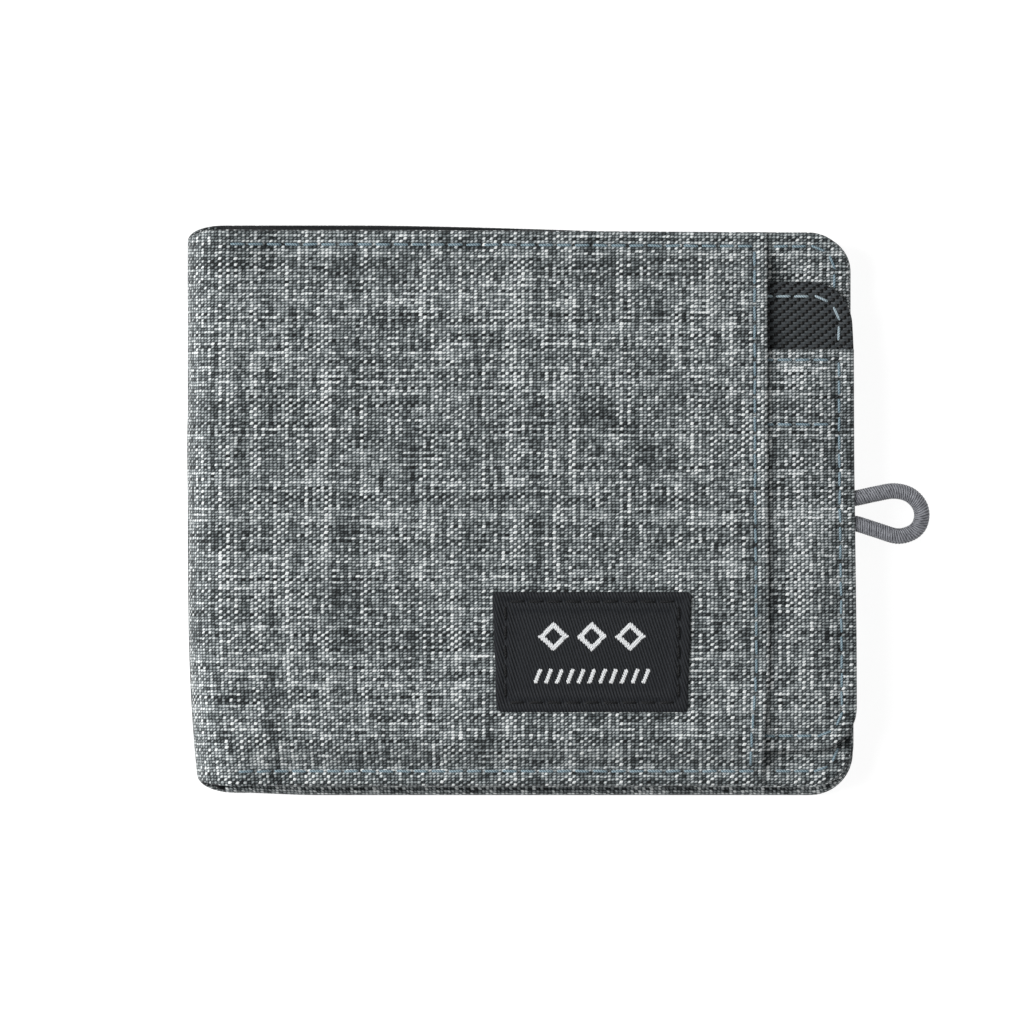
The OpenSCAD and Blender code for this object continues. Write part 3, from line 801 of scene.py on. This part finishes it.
def sew(name, body, nodes, seams, material=blue_thread,
        skew=FRONT_SKEW):
    """One piece of thread stitches. Each seam is (stitches, height function, 1 up or -1 down)."""
    draw = np.random.default_rng(len(name))
    paths = []
    for seam, height, up in seams:
        for x, y, turn in seam:
            turn = turn + draw.uniform(-0.05, 0.05)
            u = x + math.cos(turn) * STITCH_ALONG
            v = y + math.sin(turn) * STITCH_ALONG
            paths.append(place(u, v, height(u, v) + up * STITCH_LIFT, skew=skew))
    piece = tubes(name, paths, THREAD_R, 8)
    piece.data.materials.append(material)
    return bodies(piece, body, nodes)


def needle_dips(u, v, seam, deep=0.34 * MM, wide=0.36 * MM):
    """How far the cloth is pulled down at the needle holes of a seam."""
    pull = np.zeros(np.broadcast(u, v).shape)
    for x, y, turn in seam:
        for end in (-1.4 * MM, 1.4 * MM):
            far = (u - x - end * math.cos(turn)) ** 2 + (v - y - end * math.sin(turn)) ** 2
            near = far < (4 * wide) ** 2
            pull[near] = np.maximum(pull[near], deep * np.exp(-far[near] / wide ** 2))
    return pull


def seam_shape(d, inset, puff=0.14 * MM, groove=0.14 * MM):
    """A row of stitches draws cloth down, and the cloth between it and the edge puffs up."""
    edge = puff * np.sin(np.pi * np.clip(d / inset, 0, 1)) ** 2
    return edge - groove * np.exp(-((d - inset) / (0.5 * MM)) ** 2)


EDGE_INSET = 2.4 * MM
front_seam, back_seam = (half_seam(fold_x, x_edge - EDGE_INSET, low + EDGE_INSET,
                                   high - EDGE_INSET, CORNER_R - EDGE_INSET)
                         for low, high in (front_y, back_y))
panel_seam = [s for s in front_seam if s[0] < x_pocket - 1.1 * MM]
base_seam = [s for s in front_seam if s[0] > x_pocket + 1.1 * MM]
print("stitches round the front:", len(front_seam), "and the back:", len(back_seam))

# %% [markdown]
# ## Pocket panel
# The cover's cloth comes round the fold and ends at the hemmed edge of the slip pocket. It lies
# flat on the card holder and slopes down beyond it to the sewn edges, where it is turned under.
# It could be a cloth simulation, but the slopes are known, so a height function gives them, with
# soft waves added, and the stitches' pull.

# %% Pocket panel
HEM_INSET = 2.1 * MM
CLOTH_T = 0.6 * MM
SEAM_LIFT = 0.8 * MM
seam_top = base_flat + SEAM_LIFT + 1.0 * MM


def pocket_edge(v):
    """The hemmed edge bows in a little near the bottom."""
    return x_pocket - 0.9 * MM * ease(-np.asarray(v), 0.025, 0.042)


def beyond_holder(v):
    """0 over the card holder and 1 at the sewn top and bottom edges."""
    high = ease(v, holder_y[1] - 1.2 * MM, front_y[1] - 2.2 * MM)
    low = ease(-v, -holder_y[0] - 1.6 * MM, -front_y[0] - 2.2 * MM)
    return np.maximum(high, low)


def panel_side(u, v):
    return np.minimum(front_y[1] - v, v - front_y[0])


hem_seam = [(pocket_edge(y) - HEM_INSET, y, turn) for x, y, turn in stitch_row(
    (x_pocket, front_y[0] + 3 * MM), (x_pocket, front_y[1] - 3 * MM))]


def panel_top(u, v):
    away = ease(u, fold_x - 1 * MM, fold_x + 10 * MM)
    slope = beyond_holder(v) * away
    height = top_z - (top_z - seam_top) * slope
    to_edge = pocket_edge(v) - u
    over_twill = ease(v, holder_y[1] - 14 * MM, holder_y[1] - 4 * MM)
    droop = (0.05 * MM + 1.2 * MM * over_twill * (1 - slope)) * (1 - ease(to_edge, 0, 13 * MM))
    wave = (0.16 * ripple(u, v, 0.034, 5) + 0.05 * ripple(u, v, 0.011, 9)) * MM
    height = height - droop + wave * ease(panel_side(u, v), 1 * MM, 9 * MM)
    height = height + seam_shape(panel_side(u, v), EDGE_INSET) * away
    return height + seam_shape(to_edge, HEM_INSET, puff=0.08 * MM)


def panel_thick(u, v):
    hem = 1 - ease(pocket_edge(v) - u, 4.6 * MM, 5.4 * MM)
    turned = 1 - ease(panel_side(u, v), 2.8 * MM, 3.6 * MM)
    return CLOTH_T + 0.4 * MM * np.maximum(hem, turned * ease(u, fold_x, fold_x + 6 * MM))


def panel_middle(u, v):
    pull = needle_dips(u, v, panel_seam) + needle_dips(u, v, hem_seam)
    return panel_top(u, v) - pull - panel_thick(u, v) / 2


panel_rows = stations(front_y[0], front_y[1], 0.5 * MM)
panel = cloth(
    "pocket_panel", cover_cloth, panel_rows,
    right=pocket_edge, inside=lambda u, v: np.minimum(panel_side(u, v), pocket_edge(v) - u),
    middle=panel_middle, thick=panel_thick, fold=COVER_FOLD)
across_fold(panel, "front_half", ["front_pocket_panel", "fold_cover"])
print("pocket panel points:", len(panel.data.vertices))

# %% [markdown]
# ## Base panel
# The full-size panel under the pocket shows as a strip on the right, above and below the card
# holder. It lies flat where the holder slides, and its sewn edges rise a little beyond that.

# %% Base panel
def front_depth(u, v):
    return depth(u, v, (fold_x, x_edge), front_y, CORNER_R, open_left=True)


def base_top(u, v):
    rise = ease(v, holder_y[1] + 1.4 * MM, front_y[1] - 2.2 * MM)
    rise = rise + ease(-v, -holder_y[0] + 1.0 * MM, -front_y[0] - 1.8 * MM)
    puff = seam_shape(front_depth(u, v), EDGE_INSET) * np.clip(rise, 0, 1)
    return base_flat + SEAM_LIFT * rise + puff


def base_thick(u, v):
    return CLOTH_T + 0.3 * MM * (1 - ease(front_depth(u, v), 2.6 * MM, 3.4 * MM))


base_rows = stations(front_y[0], front_y[1], 0.5 * MM)
base_panel = cloth(
    "base_panel", cover_cloth, base_rows,
    left=straight(fold_x), right=rounded(x_edge, front_y, CORNER_R), inside=front_depth,
    middle=lambda u, v: base_top(u, v) - needle_dips(u, v, base_seam) - base_thick(u, v) / 2,
    thick=base_thick, step=0.6 * MM)
bodies(base_panel, "front_half", ["front_base_panel"])
print("base panel points:", len(base_panel.data.vertices))

# %% [markdown]
# ## Back cover
# The cover's other half lies on the table. Its sewn edges lift a little, because the padding
# stops short of them. It runs round the fold and meets the pocket panel's cloth half way.

# %% Back cover
def back_depth(u, v):
    return depth(u, v, (fold_x, x_edge), back_y, CORNER_R, open_left=True)


def pressed(d):
    """1 where the layers are sewn together at an edge, 0 where they lie apart."""
    return 1 - ease(d, 1.2 * MM, 5.5 * MM)


def back_face(u, v):
    """The height of the back cover's outer face."""
    away = ease(u, fold_x - 1 * MM, fold_x + 10 * MM)
    return (0.5 * MM * pressed(back_depth(u, v)) - seam_shape(back_depth(u, v), EDGE_INSET)) * away


def back_middle(u, v):
    return back_face(u, v) + needle_dips(u, v, back_seam) + CLOTH_T / 2


back_cover = cloth(
    "back_cover_cloth", cover_cloth, stations(back_y[0], back_y[1], 0.5 * MM),
    right=rounded(x_edge, back_y, CORNER_R), inside=back_depth, middle=back_middle,
    thick=CLOTH_T, fold=COVER_FOLD, skew=BACK_SKEW)
across_fold(back_cover, "back_half", ["back_cover", "fold_cover"])
print("back cover points:", len(back_cover.data.vertices))

# %% [markdown]
# ## Layers inside the two halves
# Under each cover lie foam, a lining, the wall of the note pocket and three overlapping card
# slots. Inside they lie loosely apart, and at the sewn edges they are pressed together. Each slot
# has a hem, which is doubled cloth, and gapes a little at its mouth. Both halves are built the
# same way but face each other, so one function gives the heights of the layers, counted inwards
# from the cover's outer face, and a sign turns them over.

# %% Layers inside the two halves
LINING_T = 0.3 * MM
SLOT_T = 0.35 * MM
HEM_T = 0.16 * MM
SLOT_GAPE = 0.14 * MM
WALL_DROP = 4 * MM
SLOTS = 3
slot_left = fold_x + 5 * MM
LINING_IN = 1.4 * MM
WALL_IN = 2.5 * MM
HALVES = {
    "back": dict(body="back_half", y=back_y, up=1, skew=BACK_SKEW, outer=0.0,
                 face=lambda u, v: back_face(u, v) + CLOTH_T, depth=back_depth),
    "front": dict(body="front_half", y=front_y, up=-1, skew=FRONT_SKEW, outer=base_flat,
                  face=lambda u, v: base_top(u, v) - base_thick(u, v), depth=front_depth),
}


def layer_faces(half, u, v):
    """Heights of the outward faces of lining, note wall and first slot at a place."""
    up, low = half["up"], half["y"][0]
    sewn = pressed(half["depth"](u, v))
    side = pressed(np.minimum(x_edge - u, v - low))
    lining = half["outer"] + up * LINING_IN
    lining = lining + sewn * (half["face"](u, v) - lining)
    wall = half["outer"] + up * WALL_IN
    wall = wall + side * (lining + up * LINING_T - wall)
    return lining, wall, wall + up * WALL_T


def slot_edge(half, number):
    return half["y"][1] - WALL_DROP - 16 * MM - number * 12 * MM


def slot_hem(half, number, v):
    """1 in the doubled cloth along a slot's upper edge, 0 below it."""
    return 1 - ease(slot_edge(half, number) - v, 4.6 * MM, 5.2 * MM)


def slot_face(half, number, u, v):
    """Height of a slot's outward face: the hem is thicker, and the mouth stands open a little."""
    across = np.clip((u - slot_left) / (x_edge - slot_left), 0, 1)
    below = slot_edge(half, number) - v
    mouth = SLOT_GAPE * np.sin(math.pi * across) * np.exp(-np.maximum(below, 0) / (6 * MM))
    rise = (number + 1) * SLOT_T + HEM_T * slot_hem(half, number, v) + mouth
    groove = 0.08 * MM * np.exp(-((below - EDGE_INSET) / (0.5 * MM)) ** 2)
    return layer_faces(half, u, v)[2] + half["up"] * (rise - groove)


def slot_seam(half, number):
    y = slot_edge(half, number) - EDGE_INSET
    return stitch_row((slot_left + 3 * MM, y), (x_edge - 3 * MM, y))


for side_name, half in HALVES.items():
    up, (low, high) = half["up"], half["y"]
    half_side = rounded(x_edge - 0.3 * MM, half["y"], CORNER_R)
    for kind, fold, top_room, t, order in (("lining", LINING_FOLD, 0.05 * MM, LINING_T, 0),
                                           ("note_wall", WALL_FOLD, WALL_DROP, WALL_T, 1)):
        rows = stations(low + 0.3 * MM, high - top_room, 1.0 * MM)

        def layer_middle(u, v):
            wave = 0.1 * MM * ripple(u, v, 0.03, 21 + order)
            return (layer_faces(half, u, v)[order] + up * t / 2
                    + wave * (1 - pressed(half["depth"](u, v))))

        piece = cloth(
            f"{side_name}_{kind}_cloth", lining_cloth, rows, right=half_side, step=1.0 * MM,
            inside=lambda u, v: np.minimum(np.minimum(rows[-1] - v, v - rows[0]),
                                           half_side(v) - u),
            middle=layer_middle, thick=t, fold=fold, skew=half["skew"])
        across_fold(piece, half["body"], [f"{side_name}_{kind}", f"fold_{kind}"])
    for i in range(SLOTS):
        rows = stations(low + 0.3 * MM, slot_edge(half, i), 0.5 * MM)

        def slot_thick(u, v):
            return SLOT_T + HEM_T * slot_hem(half, i, v)

        def slot_middle(u, v):
            dip = needle_dips(u, v, slot_seam(half, i), 0.08 * MM)
            return slot_face(half, i, u, v) - up * dip - up * slot_thick(u, v) / 2

        piece = cloth(
            f"{side_name}_card_slot_{i + 1}", lining_cloth, rows, left=straight(slot_left),
            right=half_side, step=1.0 * MM, middle=slot_middle, thick=slot_thick,
            inside=lambda u, v: np.minimum(np.minimum(rows[-1] - v, v - rows[0]),
                                           np.minimum(half_side(v) - u, u - slot_left)),
            skew=half["skew"])
        bodies(piece, half["body"], [f"{side_name}_slot_{i + 1}"])
    sew(f"{side_name}_slot_threads", half["body"], [f"{side_name}_slot_stitches"],
        [(slot_seam(half, k), lambda u, v, k=k: slot_face(half, k, u, v), up)
         for k in range(SLOTS)], skew=half["skew"])
    pad_x, pad_y = (fold_x + PAD_INSET, x_edge - PAD_INSET), (low + PAD_INSET, high - PAD_INSET)
    pad_r = CORNER_R - PAD_INSET

    def pad_thick(u, v):
        room = np.abs(layer_faces(half, u, v)[0] - half["face"](u, v))
        return np.clip(room - 0.06 * MM, 0.05 * MM, 0.74 * MM)

    pad = cloth(
        f"{side_name}_foam_pad", white_foam, stations(*pad_y, 1.5 * MM),
        left=rounded(pad_x[0], pad_y, pad_r, 1), right=rounded(pad_x[1], pad_y, pad_r),
        inside=lambda u, v: depth(u, v, pad_x, pad_y, pad_r), thick=pad_thick, step=1.5 * MM,
        middle=lambda u, v: (layer_faces(half, u, v)[0] + half["face"](u, v)) / 2,
        skew=half["skew"])
    bodies(pad, half["body"], [f"{side_name}_padding"])
print("layers in two halves, slots in each:", SLOTS)

# %% [markdown]
# ## Turned edges
# The cover's cloth is cut larger than the lining and turned over its edges, along the bottom,
# the free side and its corners, and then sewn down. It is a strip that follows the outline. Its
# section, a flat loop that wraps the edge, is swept along. It stands higher where it covers slots,
# lies on the lining at the top, and is tucked in at both ends.

# %% Turned edges
TURN_T = 0.5 * MM
TUCK = 0.45 * MM
STRIP_TAPER = 16 * MM
STRIP_CUT = 10 * MM


def outline_path(y0, y1, step=0.5 * MM):
    """Places and outward directions from the fold's lower end round to the top corner."""
    turns = np.linspace(-math.pi / 2, 0, 30)
    low, top = ([(x_edge - CORNER_R + CORNER_R * math.cos(a), y + CORNER_R * math.sin(a), a)
                 for a in turns + start]
                for y, start in ((y0 + CORNER_R, 0.0), (y1 - CORNER_R, math.pi / 2)))
    base = [(x, y0, -math.pi / 2) for x in np.arange(fold_x - 2.5 * MM, x_edge - CORNER_R, step)]
    rise = [(x_edge, y, 0.0) for y in np.arange(y0 + CORNER_R + step, y1 - CORNER_R, step)]
    back = [(x, y1, math.pi / 2) for x in np.arange(x_edge - CORNER_R - step, x_edge - 20 * MM,
                                                    -step)]
    return np.array([*base, *low, *rise, *top, *back])


# Each corner of the section: inset, share of the way from the outer to the inner side, and lift
SECTION = np.array([
    (4.4, 1, -0.45), (4.52, 1, -0.25), (4.3, 1, -0.04), (3.2, 1, 0.05), (2.4, 1, -0.08),
    (1.5, 1, 0.08), (0.7, 1, 0.05), (0.1, 1, -0.12), (-0.25, 1, -0.5), (-0.34, 0.5, 0.0),
    (-0.3, 0, 0.3), (-0.1, 0, 0.08), (0.3, 0, 0.0), (0.6, 0, 0.2), (0.3, 0, 0.5),
    (0.2, 0.5, 0.0), (0.5, 1, -0.475)]) * (MM, 1, MM)

for side_name, half in HALVES.items():
    path = outline_path(*half["y"])
    out = np.stack([np.cos(path[:, 2]), np.sin(path[:, 2])], axis=1)
    run = lengths(path[:, :2])
    up = half["up"]
    tuck = TUCK * (1 - ease(np.minimum(run, run[-1] - run), 0, STRIP_TAPER))
    tuck = np.maximum(tuck, TUCK * ease(path[:, 2], 0.2, 1.3))
    seam_at = path[:, :2] - out * EDGE_INSET
    lining_face, _, wall_face = layer_faces(half, seam_at[:, 0], seam_at[:, 1])
    count = sum(ease(slot_edge(half, i) - path[:, 1], -1.5 * MM, 1.5 * MM) for i in range(SLOTS))
    top_strip = ease(path[:, 1], half["y"][1] - WALL_DROP - 1 * MM, half["y"][1] - 2 * MM)
    on_lining = lining_face + up * LINING_T
    pile = wall_face + (on_lining - wall_face) * top_strip + up * count * SLOT_T
    outer = half["face"](*(path[:, :2] - out * 0.3 * MM).T) - up * 0.62 * MM
    inner = pile + up * TURN_T
    rings = []
    for inset, share, lift in SECTION:
        at = path[:, :2] - out * (inset + tuck)[:, None]
        z = outer + (inner - outer) * share + up * lift
        rings.append(place(at[:, 0], at[:, 1], z, None, half["skew"]))
    n, m = len(path), len(SECTION)
    girth = np.tile(np.linspace(0, STRIP_CUT, m), n)
    strip = make_mesh(f"{side_name}_turned_edge", np.stack(rings, axis=1).reshape(-1, 3),
                      skin(n, m), np.stack([np.repeat(run, m), girth], axis=-1))
    strip.data.materials.append(cover_cloth)
    bodies(strip, half["body"])
print("turned edge mm long:", round(run[-1] / MM))

# %% [markdown]
# ## Edge, hem and back stitches
# One row runs round each half. On the front it crosses from the pocket panel to the base panel,
# so it is two seams with two height functions. The back row lies on the underside.

# %% Edge, hem and back stitches
sew("front_edge_threads", "front_half", ["front_edge_stitches"],
    [(panel_seam, panel_top, 1), (base_seam, base_top, 1)])
sew("pocket_hem_threads", "front_half", ["pocket_hem_stitches"], [(hem_seam, panel_top, 1)])
sew("back_edge_threads", "back_half", ["back_edge_stitches"], [(back_seam, back_face, -1)],
    skew=BACK_SKEW)
print("hem stitches:", len(hem_seam))

# %% [markdown]
# ## Woven label
# The label is a small satin tag with its edges folded under, sewn near the pocket's corner. It
# follows the panel's surface, is thicker round its border, flares a little towards its top, and
# is drawn down along its stitches.

# %% Woven label
LABEL_INSET = 1.6 * MM
LABEL_R = 0.9 * MM
label_t = label_high - label_low


def label_flare(v, seed):
    """The label was sewn on a little wider at its top, and its folded sides are never straight."""
    return 0.12 * MM * ripple(0.0, v, 0.007, seed) + 0.035 * (v - label_y[0] - 4 * MM)


def label_depth(u, v):
    """Distance inside the label's flared outline."""
    left_half = u < (label_x[0] + label_x[1]) / 2
    square_u = np.where(left_half, u + label_flare(v, 3), u - label_flare(v, 4))
    return depth(square_u, v, label_x, label_y, LABEL_R)


def label_thick(u, v):
    return label_t * (0.75 + 0.45 * (1 - ease(label_depth(u, v), 2.6 * MM, 3.6 * MM)))


label_seam = inset_seam(label_x, label_y, LABEL_INSET, 0.4 * MM)


def label_top(u, v):
    pillow = 0.12 * MM * ease(label_depth(u, v), 2.5 * MM, 8 * MM)
    wave = 0.05 * MM * ripple(u, v, 0.012, 31)
    shape = seam_shape(label_depth(u, v), LABEL_INSET, puff=0.1 * MM, groove=0.12 * MM)
    return panel_top(u, v) + label_thick(u, v) + pillow + wave + shape


label = cloth(
    "woven_label_tag", label_satin, stations(*label_y, 0.35 * MM),
    left=lambda v: rounded(label_x[0], label_y, LABEL_R, 1)(v) - label_flare(v, 3),
    right=lambda v: rounded(label_x[1], label_y, LABEL_R)(v) + label_flare(v, 4),
    inside=label_depth, thick=label_thick, step=0.35 * MM,
    middle=lambda u, v: (label_top(u, v) - label_thick(u, v) / 2
                         - needle_dips(u, v, label_seam, 0.14 * MM, 0.35 * MM)))
bodies(label, "front_half", ["woven_label"])
sew("label_threads", "front_half", ["label_stitches"], [(label_seam, label_top, 1)],
    black_thread)
print("label stitches:", len(label_seam))

# %% [markdown]
# ## Label motif
# The motif is woven in white: three open diamonds over a row of slanted bars. Real motifs of
# this kind have jagged edges, because each thread starts and stops at a crossing. So the shapes
# are filled with separate threads that lie in the satin's steep direction. Each line is walked
# in small steps, and a thread is laid wherever a run of steps is inside a shape.

# %% Label motif
MOTIF_THREAD = 0.27 * MM
MOTIF_LIFT = np.array([-0.12, 0.06, 0.1, 0.1, 0.06, -0.12]) * MM
SHORTEST_STEPS = 6
DIAMOND_R, DIAMOND_STEP, DIAMOND_UP = 2.6, 6.4, 2.6
BAR_W, BAR_H, BAR_STEP, BARS, BAR_DOWN = 0.7, 2.6, 1.8, 11, -4.0


def in_motif(x, y):
    """True inside the motif, with places in millimetres from the label's centre."""
    found = np.zeros(np.shape(x), bool)
    for i in (-1, 0, 1):
        far = np.abs(x - i * DIAMOND_STEP) + np.abs(y - DIAMOND_UP)
        found |= (far < DIAMOND_R) & (far > DIAMOND_R / 2)
    tilt = math.radians(-20)
    for i in range(BARS):
        dx, dy = x - (i - (BARS - 1) / 2) * BAR_STEP, y - BAR_DOWN
        along = -math.sin(tilt) * dx + math.cos(tilt) * dy
        side = math.cos(tilt) * dx + math.sin(tilt) * dy
        found |= (np.abs(side) < BAR_W / 2) & (np.abs(along) < BAR_H / 2)
    return found


label_mid = ((label_x[0] + label_x[1]) / 2, (label_y[0] + label_y[1]) / 2)
steep = np.array([-RIB_X_MM, RIB_Y_MM]) / math.hypot(RIB_X_MM, RIB_Y_MM)
level = np.array([steep[1], -steep[0]])
motif_paths = []
walk = np.arange(-14, 14, 0.05)
for k in range(-60, 61):
    line = level * k * MOTIF_THREAD / MM + steep * walk[:, None]
    inside_now = in_motif(line[:, 0], line[:, 1])
    changes = np.flatnonzero(np.diff(inside_now.astype(int)))
    for first, last in zip(changes[::2], changes[1::2]):
        if last - first < SHORTEST_STEPS:
            continue
        spot = line[np.linspace(first, last, 6).astype(int)] * MM + label_mid
        motif_paths.append(place(*spot.T, label_top(*spot.T) + MOTIF_LIFT))
motif = tubes("woven_motif", motif_paths, 0.17 * MM, 6, flat=0.6)
motif.data.materials.append(white_thread)
bodies(motif, "front_half", ["label_motif"])
print("motif threads:", len(motif_paths))

# %% [markdown]
# ## Card holder
# Two twill sheets cover a thin board, and a pocket of cover cloth is sewn on, open at its top.
# The sheets close on each other at the rim. The pocket's cloth stands off the twill by the
# thickness of its cards, comes down to it along its sewn sides, and swells over the pull loop.

# %% Card holder
HOLDER_R = 7.2 * MM
HOLDER_INSET = 2.5 * MM
TWILL_T = 0.4 * MM
BAND_DROPS = (1.8 * MM, 12.6 * MM)


def holder_depth(u, v):
    return depth(u, v, holder_x, holder_y, HOLDER_R) - shoulder(v) * (u > 0)


def shoulder(v):
    """The upper free corner is drawn in further down its side than a round one would be."""
    return 0.3 * MM * ease(v, holder_y[1] - 13 * MM, holder_y[1] - 4 * MM)


def holder_right(v):
    return rounded(holder_x[1], holder_y, HOLDER_R)(v) - shoulder(v)


def over_loop(u, v):
    """1 over the two sewn-in ends of the pull loop."""
    strands = np.exp(-((v - 2 * MM) / (1.9 * MM)) ** 2)
    strands = strands + np.exp(-((v + 2.2 * MM) / (1.9 * MM)) ** 2)
    return np.clip(strands, 0, 1) * ease(u, x_holder - 9 * MM, x_holder - 4 * MM)


def face_top(u, v):
    d = holder_depth(u, v)
    rim = 1 - ease(d, 0.4 * MM, 4 * MM)
    shape = seam_shape(d, HOLDER_INSET, puff=0.1 * MM, groove=0.12 * MM)
    return face_flat - 0.3 * MM * rim + shape - 0.3 * MM * over_loop(u, v)


def back_sheet(u, v):
    """The middle height of the lower twill sheet."""
    rim = 1 - ease(holder_depth(u, v), 0.4 * MM, 4 * MM)
    return holder_z + TWILL_T / 2 + 0.3 * MM * rim


twill_seam = inset_seam(holder_x, holder_y, HOLDER_INSET, HOLDER_R - HOLDER_INSET)
on_twill = [s for s in twill_seam if s[1] > pouch_edge + 1.1 * MM]
on_pouch = [s for s in twill_seam if s[1] < pouch_edge - 1.1 * MM]
band_x = (holder_x[0] + 4 * MM, holder_x[1] - 4 * MM)
band_rows = [stitch_row((band_x[0], pouch_edge - drop), (band_x[1], pouch_edge - drop))
             for drop in BAND_DROPS]

holder_rows = stations(*holder_y, 0.6 * MM)
for name, node, middle in (
        ("holder_back_twill", "holder_back", back_sheet),
        ("holder_face_twill", "holder_face",
         lambda u, v: face_top(u, v) - TWILL_T / 2 - needle_dips(u, v, on_twill))):
    sheet = cloth(name, holder_twill, holder_rows, right=holder_right,
                  left=rounded(holder_x[0], holder_y, HOLDER_R, 1), inside=holder_depth,
                  middle=middle, thick=TWILL_T, step=0.6 * MM)
    bodies(sheet, "card_holder", [node])


def pouch_side(u, v):
    """Distance from the pocket's three sewn sides."""
    return depth(u, v, holder_x, (holder_y[0], pouch_edge + 1.0), HOLDER_R)


def pouch_top(u, v):
    side = pouch_side(u, v)
    sewn = 1 - ease(side, 1.8 * MM, 7 * MM)
    mouth = 1 - ease(pouch_edge - v, 0, 7 * MM)
    low = face_flat + 1.0 * MM
    height = pouch_flat - (pouch_flat - low) * np.maximum(sewn, 0.75 * mouth)
    height = height + (pouch_flat + 0.3 * MM - height) * over_loop(u, v)
    wave = 0.1 * MM * ripple(u, v, 0.03, 41) * ease(side, 2 * MM, 9 * MM)
    height = height + wave + seam_shape(side, HOLDER_INSET)
    for drop in BAND_DROPS:
        height = height - 0.12 * MM * np.exp(-((pouch_edge - v - drop) / (0.5 * MM)) ** 2)
    return height


def pouch_thick(u, v):
    turned = 1 - ease(pouch_side(u, v), 2.9 * MM, 3.7 * MM)
    hem = 1 - ease(pouch_edge - v, 13.2 * MM, 14 * MM)
    return CLOTH_T + 0.35 * MM * np.maximum(turned, hem)


def pouch_middle(u, v):
    pull = needle_dips(u, v, on_pouch) + needle_dips(u, v, band_rows[0])
    pull = pull + needle_dips(u, v, band_rows[1])
    return pouch_top(u, v) - pull - pouch_thick(u, v) / 2


open_top = (holder_y[0], pouch_edge + 40 * MM)
pouch = cloth(
    "holder_cloth_pocket", cover_cloth, stations(holder_y[0], pouch_edge, 0.5 * MM),
    left=rounded(holder_x[0], open_top, HOLDER_R, 1),
    right=rounded(holder_x[1], open_top, HOLDER_R),
    inside=lambda u, v: np.minimum(pouch_side(u, v), pouch_edge - v),
    middle=pouch_middle, thick=pouch_thick, step=0.5 * MM)
bodies(pouch, "card_holder", ["holder_pocket"])
sew("holder_twill_threads", "card_holder", (), [(on_twill, face_top, 1)], light_thread)
sew("holder_pocket_threads", "card_holder", ["holder_edge_stitches"], [(on_pouch, pouch_top, 1)])
sew("holder_band_threads", "card_holder", ["holder_band_stitches"],
    [(row, pouch_top, 1) for row in band_rows])
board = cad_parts["holder_board"]
board.data.materials.clear()
board.data.materials.append(fibre_board)
print("holder stitches:", len(twill_seam))
